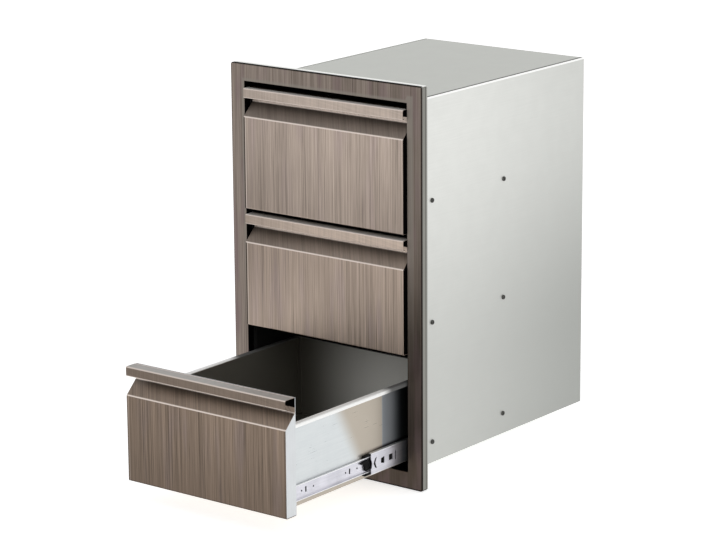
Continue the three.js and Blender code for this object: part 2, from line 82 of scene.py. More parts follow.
level = math.cos(CAMERA_TILT)
ahead = Vector((-math.sin(CAMERA_TURN) * level, math.cos(CAMERA_TURN) * level, math.sin(CAMERA_TILT)))
sideways = Vector((math.cos(CAMERA_TURN), math.sin(CAMERA_TURN), 0.0))
upright = sideways.cross(ahead)
right = math.cos(CAMERA_ROLL) * sideways + math.sin(CAMERA_ROLL) * upright
top = math.cos(CAMERA_ROLL) * upright - math.sin(CAMERA_ROLL) * sideways
camera_data = bpy.data.cameras.new("camera")
camera_data.sensor_width = SENSOR_WIDTH
camera_data.lens = FOCAL_PIXELS * SENSOR_WIDTH / IMAGE_WIDTH
camera = bpy.data.objects.new("camera", camera_data)
camera.matrix_world = Matrix.Translation(CAMERA_PLACE) @ Matrix((right, top, -ahead)).transposed().to_4x4()
scene.collection.objects.link(camera)
scene.camera = camera
print("lens", round(camera_data.lens, 1), "mm")

# %% [markdown]
# ## Shader maths in Python
# A finish is mostly sums on noises and places. Node by node that is long to write, so a small class wraps a
# socket and lets an expression such as `1 - mask * 0.4` add its Math nodes. Every other node comes from one
# method. Masks are soft steps between two places. All sizes are in metres, and a named pair of them says
# where a step starts and ends.

# %% Numbers on a surface
class Number:
    """A number that changes over a surface. Sums and products with it add Math nodes to its material."""

    def __init__(self, finish, socket):
        self.finish = finish
        self.socket = socket

    def maths(self, operation, *values):
        """The Math node of that operation on these values."""
        return self.finish.node("ShaderNodeMath", {"operation": operation}, dict(enumerate(values)))

    def __add__(self, other):
        return self.maths("ADD", self, other)

    def __sub__(self, other):
        return self.maths("SUBTRACT", self, other)

    def __rsub__(self, other):
        return self.maths("SUBTRACT", other, self)

    def __mul__(self, other):
        return self.maths("MULTIPLY", self, other)

    def __abs__(self):
        return self.maths("ABSOLUTE", self)

    __radd__ = __add__
    __rmul__ = __mul__

    def most(self, other):
        """The greater of the two, point by point."""
        return self.maths("MAXIMUM", self, other)

    def rise(self, start, end):
        """0 before start, 1 after end, with a soft step between them."""
        values = {"Value": self, "From Min": start, "From Max": end}
        return self.finish.node("ShaderNodeMapRange", {"interpolation_type": "SMOOTHSTEP"}, values)

    def fall(self, start, end):
        """1 before start, 0 after end, with the same soft step."""
        return 1 - self.rise(start, end)

    def line(self, place, width):
        """1 on a line at that place and 0 half a width away from it."""
        return abs(self - place).fall(0.0, width / 2)

    def where(self, mask, value):
        """This number, with that value in its place where the mask is 1."""
        return self * (1 - mask) + mask * value


print("operators:", "+ - * abs")

# %% [markdown]
# A finish holds one material and the places of its points, and makes its nodes. A share between two colours
# needs a Mix node, because a Math node would turn a colour grey. A gap between sheets is deeper than any lamp
# reaches, so it fades to a second, matt black shader instead of to a dark metal, which would still mirror the
# white room.

# %% Finishes
INPUT_NAMES = {"specular_ior_level": "Specular IOR Level"}
MIX_SHARE, MIX_LOW, MIX_HIGH, MIX_RESULT = 0, 6, 7, 2


class Finish:
    """A material on one Principled shader, with the coordinates that its pattern reads."""

    def __init__(self, name, **constants):
        self.material = bpy.data.materials.new(name)
        self.material.use_nodes = True
        self.tree = self.material.node_tree
        self.shader = self.tree.nodes["Principled BSDF"]
        self.set(**constants)
        place = self.node("ShaderNodeTexCoord", output="Object")
        split = self.node("ShaderNodeSeparateXYZ", values={"Vector": place}).socket.node
        self.x, self.y, self.z = (Number(self, socket) for socket in split.outputs)
        normal = self.node("ShaderNodeNewGeometry", output="Normal")
        self.facing_z = self.node("ShaderNodeSeparateXYZ", values={"Vector": normal}, output="Z")

    def node(self, kind, settings=None, values=None, output=0):
        """A node with its settings made first, then its inputs linked or set, by name or by number."""
        made = self.tree.nodes.new(kind)
        for key, value in (settings or {}).items():
            setattr(made, key, value)
        for key, value in (values or {}).items():
            if isinstance(value, Number):
                self.tree.links.new(value.socket, made.inputs[key])
            else:
                made.inputs[key].default_value = value
        return Number(self, made.outputs[output])

    def set(self, **inputs):
        """Sets or links inputs of the shader; an underscore stands for a space in a name."""
        for key, value in inputs.items():
            socket = self.shader.inputs[INPUT_NAMES.get(key, key.replace("_", " ").title())]
            if isinstance(value, Number):
                self.tree.links.new(value.socket, socket)
            else:
                socket.default_value = value

    def vector(self, x, y, z):
        """The vector of three numbers."""
        return self.node("ShaderNodeCombineXYZ", values={"X": x, "Y": y, "Z": z})

    def noise(self, vector, detail=2.0):
        """Noise with a mean of about one half, of features one unit wide along the vector."""
        values = {"Vector": vector, "Scale": 1.0, "Detail": detail, "Roughness": 0.5}
        return self.node("ShaderNodeTexNoise", values=values)

    def speckle(self, x, y, z, detail=2.0):
        """Noise of that many features to the metre along each axis."""
        return self.noise(self.vector(self.x * x, self.y * y, self.z * z), detail)

    def between(self, share, low, high):
        """The colour that lies at that share of the way from low to high."""
        values = {MIX_SHARE: share, MIX_LOW: low, MIX_HIGH: high}
        return self.node("ShaderNodeMix", {"data_type": "RGBA"}, values, output=MIX_RESULT)

    def shadow(self, share):
        """Fades the surface to matt black without gloss, as a deep gap looks."""
        values = {"Base Color": NEARLY_BLACK, "Roughness": 1.0, "Specular IOR Level": 0.0}
        black = self.node("ShaderNodeBsdfPrincipled", values=values)
        glossy = Number(self, self.shader.outputs["BSDF"])
        mixed = self.node("ShaderNodeMixShader", values={0: share, 1: glossy, 2: black})
        self.tree.links.new(mixed.socket, self.tree.nodes["Material Output"].inputs["Surface"])

    def bump(self, height, depth, strength):
        """Tilts the normal by a height pattern, in metres of depth."""
        values = {"Height": height, "Distance": depth, "Strength": strength}
        self.set(normal=self.node("ShaderNodeBump", values=values))


def colour(red, green, blue):
    """A colour as a screen shows it, from 0 to 255, turned to the linear values that Blender mixes.

    A share s of full brightness becomes s / 12.92 up to 0.04045, and ((s + 0.055) / 1.055) ** 2.4 above that.
    """
    shares = np.array([red, green, blue]) / 255
    linear = np.where(shares > 0.04045, ((shares + 0.055) / 1.055) ** 2.4, shares / 12.92)
    return (*linear.tolist(), 1.0)


NEARLY_BLACK = colour(8, 7, 7)
print("a mid grey is", [round(share, 3) for share in colour(128, 128, 128)])

# %% [markdown]
# ## Brown brushed steel
# The frame and the fronts are stainless steel with a brown tint, brushed along its length by a belt. The
# brush leaves streaks a few tenths to a few millimetres wide and up to hundreds long. Noise stretched along
# one way gives them: four widths are added, and the same streaks tilt the normal and change the roughness, as
# a real scratch does. The caller says which coordinate runs across the streaks and which runs along them.

# %% Brushed streaks
# Width, length and share of each noise
STREAKS = ((0.023, 0.6, 0.45), (0.0043, 0.45, 0.45), (0.0019, 0.25, 1.0), (0.0007, 0.05, 0.6))
NOISE_MEAN = 0.5
TINT_DENSITY = 45


def streaks(finish, over, along, offset):
    """Stretched noises added, each with its own width, length and share, about 0 on average."""
    total = 0.0
    for width, length, share in STREAKS:
        vector = finish.vector(over * (1 / width) + offset, 0.0, along * (1 / length))
        total = (finish.noise(vector, detail=1.0) - NOISE_MEAN) * share + total
    return total


def tint(finish, density, offset):
    """Slow noise in x and z that moves the brown's hue, of that many features to the metre along z."""
    vector = finish.vector(finish.x * TINT_DENSITY, 0.0, finish.z * density + offset)
    return finish.noise(vector, detail=1.0)


print(len(STREAKS), "widths of streak, up to", max(streak[0] for streak in STREAKS), "m")

# %% [markdown]
# A deep and a pale brown are the two ends of one colour range, and each zone of a sheet is a share of the way
# between them. That keeps the finish one steel: the bevel under the bar is darker with painted shade, as it
# looks into the recess, and the bends are lighter with painted highlights. Each front is lit a little
# differently, so its painted light and shade are settings of the material. First the zones of a front are
# found from its height and its depth.

# %% Zones of a front
FRONT_DEPTH = 0.0255
FRONT_BEND_DROP = 0.048
FRONT_BEVEL_RISE = 0.023
FRONT_BAR_HEIGHT = 0.0165
FRONT_MIDDLE_DEPTH = 0.014
BAR_INSIDE = (0.0024, 0.00288)
EASE = 0.0008
FACING_UP = (0.6, 0.9)


def front_zones(finish, lowest, highest):
    """Masks of the leaning bevel, the bar, the wall behind it, the flange on top and the inside of the bar."""
    high = highest.z
    bend, bar_foot = high - FRONT_BEND_DROP, high - FRONT_BAR_HEIGHT
    wall = bend + FRONT_BEVEL_RISE
    depth = finish.y - lowest.y
    at_back = depth.rise(FRONT_MIDDLE_DEPTH - EASE, FRONT_MIDDLE_DEPTH + EASE)
    within_bar = depth.rise(*BAR_INSIDE) * finish.z.rise(bar_foot + EASE / 2, bar_foot + EASE)
    in_bevel = finish.z.rise(bend - EASE, bend + EASE)
    return SimpleNamespace(
        low=lowest.z, high=high, half=highest.x, bend=bend, bar_foot=bar_foot, wall=wall, depth=depth,
        at_back=at_back, in_bevel=in_bevel, on_face=1 - in_bevel,
        in_bar=finish.z.rise(bar_foot - 2 * EASE, bar_foot - EASE) * (1 - at_back),
        behind_bar=finish.z.rise(wall - EASE, wall) * at_back,
        on_top=finish.facing_z.rise(*FACING_UP) * finish.z.rise(high - 2 * EASE, high - EASE),
        within_bar=within_bar * finish.z.fall(high - EASE, high - EASE / 2),
    )


print("the bevel is darkest", FRONT_BEND_DROP - FRONT_BEVEL_RISE, "m below the top")

# %% Pattern and tone of a front
BEVEL_LEAN, BAR_LEAN = 0.9, 0.14
BEVEL_OFFSET, BAR_OFFSET = 3.7, 7.1
BEVEL_SHARE, BAR_LONG_SHARE, BAR_UPRIGHT_SHARE = 0.6, 0.25, 0.35
WALL_TONE = 1.3
FLANGE_SHARE = 0.6
SHADE_RISE = 0.012
DIM_END = (-0.19, 0.03)


def front_pattern(finish, zones, offset):
    """Upright streaks on the face. On the bevel they lean, and on the bar some run along it."""
    lines = streaks(finish, finish.x, finish.z, offset)
    leaning = streaks(finish, finish.x + finish.z * BEVEL_LEAN, finish.z, offset + BEVEL_OFFSET)
    along_bar = streaks(finish, finish.z + finish.x * BAR_LEAN, finish.x, offset + BAR_OFFSET)
    on_bar = along_bar * BAR_LONG_SHARE + lines * BAR_UPRIGHT_SHARE
    return lines.where(zones.in_bevel, (leaning * BEVEL_SHARE).where(zones.in_bar, on_bar))


def front_tone(finish, zones, pattern, look):
    """Share from deep to pale brown, as painted light and shade: each zone's own, painted shade on the bevel
    under the bar, less at the left end, times the streaks.
    """
    tone = finish.z.rise(zones.low, zones.bend) * (look.high_tone - look.low_tone) + look.low_tone
    shade = finish.z.rise(zones.bend + SHADE_RISE, zones.wall) * look.shade
    tone = tone.where(zones.in_bevel, (1 - shade) * look.bevel)
    tone = tone.where(zones.behind_bar, look.bar * WALL_TONE)
    tone = tone.where(zones.in_bar, look.bar)
    tone = tone * (finish.x.rise(*DIM_END) * (1 - look.left) + look.left)
    tone = tone * (pattern * look.contrast + 1)
    # Painted light and shade on the top flange: pale at its front, falling to dark deeper in.
    flange = zones.depth.fall(look.flange_reach * FLANGE_SHARE, look.flange_reach) * look.flange
    return tone.where(zones.on_top, flange)


print("streaks lean by", BEVEL_LEAN, "on the bevel")

# %% [markdown]
# A bend catches the light in a thin line, and that line is a painted highlight, pale over the brown. The lines
# are masks about the height or depth of each bend. The finish then mixes: deep to pale brown by the tone, and
# the painted highlights over it.

# %% Brown front
DEEP_BROWN = colour(46, 35, 24)
PALE_BROWN = colour(212, 196, 184)
WARM_BROWN = colour(214, 188, 166)
PURPLE_PALE = colour(206, 186, 182)
FRONT_EDGE_HIGHLIGHT = colour(242, 229, 220)
FLANGE_LIT = colour(216, 211, 206)
HEM_LINE, BEND_LINE, SIDE_LINE = 0.003, 0.0034, 0.004
LEFT_LINE_INSET = 0.0036
FOLD_SHINE, LEFT_SHINE = 0.9, 0.35
FRONT_TINT, FRONT_TINT_STEP, FRONT_TINT_SHARE = 6, (0.5, 0.75), 0.5
BROWN_METALLIC, BEVEL_MATT = 0.75, 0.6
BROWN_ROUGHNESS, STREAK_ROUGHNESS = 0.42, 0.25
SCRATCH_DEPTH, SCRATCH_STRENGTH = 0.00006, 0.35


def front_highlights(finish, zones, look):
    """Painted highlights on the fold, the bar's two edges, the top of the bevel, the flange's rear and the left
    end.
    """
    edges, depth = look.edges, zones.depth
    fold = finish.z.line(zones.bend + EASE / 2, BEND_LINE) * FOLD_SHINE
    top_edge = finish.z.line(zones.high - EASE, BEND_LINE) * depth.fall(EASE, 4 * EASE) * edges
    foot_edge = finish.z.line(zones.bar_foot + EASE, HEM_LINE) * (1 - zones.at_back) * edges
    back_edge = finish.z.line(zones.wall, HEM_LINE) * zones.at_back * edges
    rear_edge = zones.on_top * depth.rise(FRONT_DEPTH - 7 * EASE, FRONT_DEPTH - 6 * EASE) * look.rear
    left_edge = finish.x.line(LEFT_LINE_INSET - zones.half, HEM_LINE) * LEFT_SHINE * zones.on_face * look.beside
    return fold.most(top_edge).most(foot_edge).most(back_edge).most(rear_edge).most(left_edge)


def brown_front(name, lowest, highest, look):
    """Brown brushed finish of the front that fills the box from lowest to highest."""
    finish = Finish(name)
    zones = front_zones(finish, lowest, highest)
    pattern = front_pattern(finish, zones, look.offset)
    # Painted highlight along the hem and the right edge, or a painted dark line where rim is below 0.
    hem = finish.z.line(zones.low + 2 * EASE, HEM_LINE)
    side = finish.x.line(zones.half - EASE, SIDE_LINE) * zones.on_face
    tone = front_tone(finish, zones, pattern, look) + hem.most(side) * look.rim
    hue = tint(finish, FRONT_TINT, look.offset).rise(*FRONT_TINT_STEP) * FRONT_TINT_SHARE * zones.on_face
    pale = finish.between(look.warmth, PALE_BROWN, WARM_BROWN)
    # The top flange is painted paler and greyer, as lit from above.
    pale = finish.between(zones.on_top, finish.between(hue, pale, PURPLE_PALE), FLANGE_LIT)
    brown = finish.between(tone, DEEP_BROWN, pale)
    finish.set(base_color=finish.between(front_highlights(finish, zones, look), brown, FRONT_EDGE_HIGHLIGHT))
    finish.set(roughness=pattern * STREAK_ROUGHNESS + BROWN_ROUGHNESS)
    finish.set(metallic=(1 - zones.on_top) * (1 - zones.in_bevel * BEVEL_MATT) * BROWN_METALLIC)
    finish.bump(pattern, SCRATCH_DEPTH, SCRATCH_STRENGTH)
    # Painted shade: black in the gap at the left end and inside the hollow bar.
    gap = finish.x.fall(2 * EASE - zones.half, 3 * EASE - zones.half) * zones.on_face * look.beside
    finish.shadow(zones.within_bar.most(gap))
    return finish.material


print("brown from", [round(share, 3) for share in DEEP_BROWN], "to", [round(share, 3) for share in PALE_BROWN])

# %% [markdown]
# ## Folded sheet
# The fronts and the frame are folded from sheet. A folded sheet is a line of corners with round bends,
# carried along a path. The line through the middle of the sheet is computed with its bends as arcs, and
# Solidify gives the sheet its thickness to both sides, so inner and outer bend radii come out right.

# %% Lines with bends
BEND_STEPS = 8


def rounded_line(corners, radius):
    """A line through corners, each inner corner replaced by an arc that touches both its sides.

    The arc starts radius / tan(half the corner's angle) before the corner, and its centre lies on the bisector.
    """
    corners = np.asarray(corners, float)
    points = [corners[:1]]
    for before, corner, after in zip(corners[:-2], corners[1:-1], corners[2:]):
        back = (before - corner) / np.linalg.norm(before - corner)
        on = (after - corner) / np.linalg.norm(after - corner)
        half = math.acos(np.clip(back @ on, -1, 1)) / 2
        bisector = (back + on) / np.linalg.norm(back + on)
        centre = corner + bisector * radius / math.sin(half)
        first = corner + back * radius / math.tan(half) - centre
        last = corner + on * radius / math.tan(half) - centre
        share = np.linspace(0, 1, BEND_STEPS + 1)[:, None]
        span = math.pi - 2 * half
        arc = np.sin((1 - share) * span) * first + np.sin(share * span) * last
        points.append(centre + arc / math.sin(span))
    points.append(corners[-1:])
    return np.concatenate(points)


print(BEND_STEPS, "steps round each bend")

# %% Surfaces and sheet thickness
SHEET_CORNER = math.radians(60)


def grid_faces(rows, columns, closed=False):
    """Quads between neighbouring points of a grid. A closed grid joins its last column to its first."""
    row, column = np.meshgrid(np.arange(rows - 1), np.arange(columns if closed else columns - 1), indexing="ij")
    onward = (column + 1) % columns
    below, above = row * columns, (row + 1) * columns
    return np.stack([below + column, below + onward, above + onward, above + column], -1).reshape(-1, 4)


def piece(name, points, faces, body, slot, material):
    """A smooth-shaded mesh from an array of points and a list of faces, riding on a body of the model."""
    mesh = bpy.data.meshes.new(name)
    points = np.asarray(points, float).reshape(-1, 3)
    mesh.from_pydata(points.tolist(), [], [list(map(int, face)) for face in faces])
    mesh.validate()
    mesh.shade_smooth()
    mesh.materials.append(material)
    made = bpy.data.objects.new(name, mesh)
    scene.collection.objects.link(made)
    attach(made, body)
    return made


def bevelled(made, name, width, corner):
    """Bevels every edge sharper than that corner, and weighted normals keep the flats flat."""
    bevel = made.modifiers.new(name, "BEVEL")
    bevel.width = width
    bevel.segments = 2
    bevel.limit_method = "ANGLE"
    bevel.angle_limit = corner
    return made.modifiers.new("flat faces", "WEIGHTED_NORMAL")


def sheet_metal(made, thickness, rounding):
    """Solidify gives the sheet its thickness to both sides, and its cut edges are rounded."""
    solidify = made.modifiers.new("thickness", "SOLIDIFY")
    solidify.thickness = thickness
    solidify.offset = 0.0
    solidify.use_even_offset = True
    bevelled(made, "cut edges", rounding, SHEET_CORNER).keep_sharp = True
    return made


print("edges sharper than", round(math.degrees(SHEET_CORNER)), "degrees are rounded")

# %% [markdown]
# ## Drawer fronts
# Each front is one brown sheet. It starts as a hem at the bottom, runs up the face, leans back into a finger
# recess, rises behind it and folds forward and down into the handle bar. Its corners repeat the solid's
# sizes, and its place comes from the solid's own box, so it fits the drawer behind it. A front's look names
# its tones as shares from deep to pale brown, how strong its lines and streaks are, and where its noise
# starts. Most of these tones are painted light and shade, set for how each front is lit: shade darkens the
# bevel under the bar, flange and flange_reach paint the lit front of the top flange, edges, rear and rim
# paint highlights on the bends (a rim below 0 paints a dark line instead), and beside paints the shade of
# the gap at the left end and the highlight beside it.

# %% Front sheets
FRONT_SHEET = 0.001
FRONT_BEND = 0.0018
FRONT_BAR_LIP = 0.005
CUT_EDGE = 0.00025
FRONT_LOOKS = {
    "top": SimpleNamespace(
        low_tone=0.44, high_tone=0.56, left=0.8, bar=0.66, flange=1.7, flange_reach=0.014, bevel=0.28,
        shade=0.6, warmth=0.15, contrast=1.5, edges=0.6, rear=0.0, rim=0.12, beside=0.9, offset=11.0),
    "middle": SimpleNamespace(
        low_tone=0.72, high_tone=0.54, left=0.64, bar=0.75, flange=0.95, flange_reach=0.022, bevel=0.38,
        shade=0.5, warmth=0.4, contrast=1.4, edges=0.6, rear=0.0, rim=0.12, beside=0.9, offset=29.0),
    "bottom": SimpleNamespace(
        low_tone=0.2, high_tone=0.27, left=0.86, bar=0.2, flange=0.58, flange_reach=0.06, bevel=0.34,
        shade=0.6, warmth=0.9, contrast=1.9, edges=0.8, rear=0.9, rim=-0.12, beside=0.4, offset=47.0),
}
DRAWERS = tuple(FRONT_LOOKS)


def front_line(low, high, face):
    """Corners of a front's middle line in y and z, from its bottom hem to the end of the bar's lip."""
    half = FRONT_SHEET / 2
    back = face + FRONT_DEPTH - FRONT_SHEET
    bend = high - FRONT_BEND_DROP
    under_bar = high - FRONT_BAR_HEIGHT + half
    return [
        (back - half, low + half), (face + half, low + half), (face + half, bend),
        (back - half, bend + FRONT_BEVEL_RISE), (back - half, high - half), (face + half, high - half),
        (face + half, under_bar), (face + FRONT_BAR_LIP, under_bar),
    ]


for drawer, look in FRONT_LOOKS.items():
    lowest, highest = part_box(f"{drawer}_front_skin")
    line = rounded_line(front_line(lowest.z, highest.z, lowest.y), FRONT_BEND)
    columns = np.array([lowest.x, highest.x])
    x, row = np.meshgrid(columns, np.arange(len(line)))
    points = np.stack([x, line[row, 0], line[row, 1]], -1)
    material = brown_front(f"brown steel of the {drawer} front", lowest, highest, look)
    faces = grid_faces(len(line), len(columns))
    made = piece(f"{drawer}_folded_front", points, faces, f"{drawer}_drawer", "bronze_steel", material)
    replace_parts(sheet_metal(made, FRONT_SHEET, CUT_EDGE), f"{drawer}_front_skin")
print(len(DRAWERS), "fronts of", len(line), "lines each")

# %% [markdown]
# ## Trim frame
# The frame is a border round the window. Its face is browner on the left, greyer beside the window with a
# painted highlight along its rounded edge, and dark on its outer bend with painted shade, and the return that
# is folded back behind the face is pale, its level parts painted white as a highlight. The finish finds these
# zones from the distance to the outer edge and the depth behind the face.

# %% Brown frame
FRAME_BORDER = 0.0295
FRAME_OFFSET = 71.0
FRAME_CONTRAST = 1.7
FRAME_LEFT_TONE, FRAME_RIGHT_TONE, FRAME_RIGHT_GAIN, FRAME_GAIN_SHARE = 0.28, 0.055, 0.15, 0.8
FRAME_TINT, FRAME_TINT_STEP, FRAME_TINT_SHARE, FRAME_TINT_LOSS = 9, (0.48, 0.72), 0.6, 0.25
BAND_WIDTH, BAND_WIDER, BAND_EASE, BAND_RISE, BAND_SHARE = 0.0058, 0.007, 0.002, (0.1, 0.5), 0.55
# Steps counted inwards from the outer edge, backwards from the face or upwards from the foot
RETURN_REACH, RETURN_DEPTH = (0.004, 0.006), (0.0018, 0.0024)
RETURN_GREY_STEP, RETURN_EDGE_STEP = (0.0095, 0.0105), (0.0125, 0.0145)
FRAME_FOOT, FRAME_FOOT_SHARE = (0.002, 0.0032), 0.85
OUTER_BEND_REACH, OUTER_BEND_DEPTH, OUTER_BEND_SHARE = (0.0009, 0.002), (0.0026, 0.0034), 0.85
TOP_BEND_DEPTH, TOP_BEND_SHARE = (0.005, 0.007), 0.95
WINDOW_EDGE, WINDOW_EASE = 0.0012, 0.0006
WINDOW_SHEEN_GREY = colour(128, 123, 115)
RETURN_LIGHT = colour(136, 135, 129)
RETURN_GREY = colour(104, 103, 97)
RETURN_EDGE = colour(165, 165, 160)
RETURN_HIGHLIGHT = colour(245, 246, 243)
PURPLE_BROWN = colour(112, 94, 96)


def frame_face(finish, lines, lowest, highest, inset):
    """Colour of the frame's face: deep to pale brown, with a greyer painted highlight in a band beside the
    window.
    """
    half = highest.x
    right_tone = finish.z.rise(lowest.z, highest.z * FRAME_GAIN_SHARE) * FRAME_RIGHT_GAIN + FRAME_RIGHT_TONE
    to_right = finish.x.rise(-half, half)
    tone = (right_tone - FRAME_LEFT_TONE) * to_right + FRAME_LEFT_TONE
    brown = finish.between(tone * (lines * FRAME_CONTRAST + 1), DEEP_BROWN, PALE_BROWN)
    hue = tint(finish, FRAME_TINT, 0.0).rise(*FRAME_TINT_STEP)
    brown = finish.between(hue * (FRAME_TINT_SHARE - to_right * FRAME_TINT_LOSS), brown, PURPLE_BROWN)
    # Painted highlight: a greyer band along the window's rounded edge, wider on the right.
    border = half - FRAME_BORDER
    on_right = finish.x.rise(border - BAND_EASE, border + BAND_EASE)
    past_band = inset - (FRAME_BORDER - BAND_WIDTH - on_right * BAND_WIDER)
    band = past_band.rise(-BAND_EASE, BAND_EASE) * finish.z.rise(*BAND_RISE) * BAND_SHARE
    return finish.between(band, brown, WINDOW_SHEEN_GREY)


def frame_shade(finish, lowest, inset, depth, level_return):
    """Painted shade of the frame: dark lines at its foot, its outer bend and the bend of its level return, and
    the inside of its window.
    """
    foot = finish.z.fall(*(lowest.z + rise for rise in FRAME_FOOT)) * FRAME_FOOT_SHARE
    bend = inset.fall(*OUTER_BEND_REACH) * depth.fall(*OUTER_BEND_DEPTH) * OUTER_BEND_SHARE
    top_bend = level_return * depth.fall(*TOP_BEND_DEPTH) * TOP_BEND_SHARE
    inside = inset.rise(FRAME_BORDER - WINDOW_EDGE, FRAME_BORDER - WINDOW_EASE)
    return bend.most(top_bend).most(inside).most(foot)


def brown_frame(name, lowest, highest):
    """Brown brushed finish of the frame, with painted shade on its outer bend, and pale returns whose level
    parts are painted white as a highlight.
    """
    finish = Finish(name, metallic=BROWN_METALLIC)
    middle = (lowest.z + highest.z) / 2
    inset_x = highest.x - abs(finish.x)
    inset_z = (highest.z - middle) - abs(finish.z - middle)
    inset = 1 - (1 - inset_x).most(1 - inset_z)
    depth = finish.y - lowest.y
    lines = streaks(finish, finish.x, finish.z, FRAME_OFFSET)
    face = frame_face(finish, lines, lowest, highest, inset)
    pale = finish.between(depth.rise(*RETURN_GREY_STEP), RETURN_LIGHT, RETURN_GREY)
    pale = finish.between(depth.rise(*RETURN_EDGE_STEP), pale, RETURN_EDGE)
    at_return = inset.fall(*RETURN_REACH)
    level_return = abs(finish.facing_z).rise(*FACING_UP) * at_return
    # Painted highlight: the level returns are painted white.
    pale = finish.between(level_return, pale, RETURN_HIGHLIGHT)
    base = finish.between(at_return * depth.rise(*RETURN_DEPTH), face, pale)
    finish.set(base_color=base, roughness=lines * STREAK_ROUGHNESS + BROWN_ROUGHNESS)
    finish.bump(lines, SCRATCH_DEPTH, SCRATCH_STRENGTH)
    finish.shadow(frame_shade(finish, lowest, inset, depth, level_return))
    return finish.material


print("a band", BAND_WIDTH, "m wide beside the window is greyer")

# %% [markdown]
# The frame's section is an outer return, a face and an inner return. It is carried round the corners: a loop
# at each distance from the outer edge, whose corner radius shrinks on the way in.

# %% Frame sheet
FRAME_SHEET = 0.0012
WINDOW_RETURN = 0.011
FRAME_CORNER = 0.004
WINDOW_CORNER = 0.0009
FRAME_BEND = 0.0014
CORNER_STEPS = 8


def frame_loop(inset, depth):
    """Points of a rounded rectangle that far inside the outer edge: four arcs joined by straight sides."""
    radius = max(FRAME_CORNER - inset, WINDOW_CORNER)
    angle = (np.arange(4)[:, None] + np.linspace(0, 1, CORNER_STEPS)) * math.pi / 2
    way_x, way_z = np.array([1, -1, -1, 1]), np.array([1, 1, -1, -1])
    x = way_x[:, None] * (frame_half - inset - radius) + radius * np.cos(angle)
    z = frame_middle + way_z[:, None] * (frame_rise - inset - radius) + radius * np.sin(angle)
    return np.stack([x, np.full_like(x, depth), z], -1).reshape(-1, 3)


lowest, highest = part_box("trim_frame")
FRAME_FRONT = lowest.y
frame_half, frame_middle, frame_rise = highest.x, (lowest.z + highest.z) / 2, (highest.z - lowest.z) / 2
half = FRAME_SHEET / 2
section = rounded_line([
    (half, highest.y), (half, lowest.y + half), (FRAME_BORDER - half, lowest.y + half),
    (FRAME_BORDER - half, lowest.y + WINDOW_RETURN),
], FRAME_BEND)
points = np.stack([frame_loop(inset, depth) for inset, depth in section])
faces = grid_faces(*points.shape[:2], closed=True)[:, ::-1]
material = brown_frame("brown steel of the frame", lowest, highest)
made = piece("folded_trim_frame", points, faces, "cabinet", "bronze_steel", material)
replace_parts(sheet_metal(made, FRAME_SHEET, CUT_EDGE), "trim_frame")
print("frame section of", len(section), "points round", points.shape[1], "places")

# %% [markdown]
# ## Bare steel
# The cabinet, the liners behind the fronts and the trays are bare stainless sheet. It is paler than the brown
# steel, with a faint brush and a slow mottle where the rolling left it, and it is softly glossy.

# %% Bare steel finish
BARE_WIDE, BARE_WIDE_LENGTH, BARE_WIDE_SHARE = 0.0024, 0.12, 0.35
BARE_FINE, BARE_FINE_LENGTH, BARE_FINE_SHARE = 0.0006, 0.02, 0.25
BARE_FINE_OFFSET = 3.0
MOTTLE_DENSITY, MOTTLE_SHARE = 30, 0.4
BARE_STEP = (0.3, 0.7)
BARE_ROUGHNESS = 0.2
BARE_DEPTH, BARE_STRENGTH = 0.00003, 0.25


def bare_steel(name, light, dark, roughness=0.4, metallic=0.6, brush="y"):
    """Bare sheet between two close colours, brushed along y or along z."""
    finish = Finish(name, metallic=metallic)
    along, over = (finish.y, finish.z + finish.x) if brush == "y" else (finish.z, finish.x + finish.y)
    wide = finish.noise(finish.vector(along * (1 / BARE_WIDE_LENGTH), 0.0, over * (1 / BARE_WIDE)))
    fine = finish.noise(finish.vector(along * (1 / BARE_FINE_LENGTH), BARE_FINE_OFFSET, over * (1 / BARE_FINE)))
    mottle = finish.speckle(MOTTLE_DENSITY, MOTTLE_DENSITY, MOTTLE_DENSITY, detail=3.0)
    pattern = wide * BARE_WIDE_SHARE + fine * BARE_FINE_SHARE + mottle * MOTTLE_SHARE
    finish.base = finish.between(pattern.rise(*BARE_STEP), dark, light)
    finish.set(base_color=finish.base, roughness=pattern * BARE_ROUGHNESS + (roughness - BARE_ROUGHNESS / 2))
    finish.bump(wide + fine, BARE_DEPTH, BARE_STRENGTH)
    return finish


def give(material, *names):
    """Puts a finish on solids that keep their own shape."""
    for name in names:
        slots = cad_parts[name].data.materials
        slots.clear()
        slots.append(material)


print("brushed lines", BARE_FINE, "and", BARE_WIDE, "m wide")

# %% [markdown]
# ## Cabinet
# A box of thin panels is dark inside and in the gap round its mouth: painted shade. Both lie at known distances
# from its panels, so masks find them. The side that the camera sees has a painted reflection of a darker floor
# low down and towards the back, and painted highlights on its upper and front edges. The top is painted a
# little darker than the sides as shade, and the seam between the side and the top panel is a painted dark line
# of shadow.

# %% Cabinet steel
CABINET_SHEET = 0.001
CABINET_EASE = 0.0004
MOUTH_REACH, MOUTH_DEPTH = (0.001, 0.0015), (0.0025, 0.0035)
SIDE_TOP_EDGE, SIDE_FRONT_EDGE, SIDE_FRONT_SHARE = (0.0035, 0.0025), (0.005, 0.007), 0.8
SEAM, SEAM_SHARE = (0.0068, 0.0055), 0.8
# Where the painted reflection of a darker floor fades: downwards in z, and towards the back in y
FAR_DOWN, FAR_BACK = (0.12, 0.58), (-0.02, 0.6)
FAR_DOWN_SHARE, FAR_BACK_SHARE, FAR_BOTH_SHARE = 0.48, 0.36, 0.1
SIDE_LIGHT, SIDE_DARK, SIDE_FLOOR_REFLECTION = colour(229, 230, 226), colour(222, 223, 219), colour(152, 154, 150)
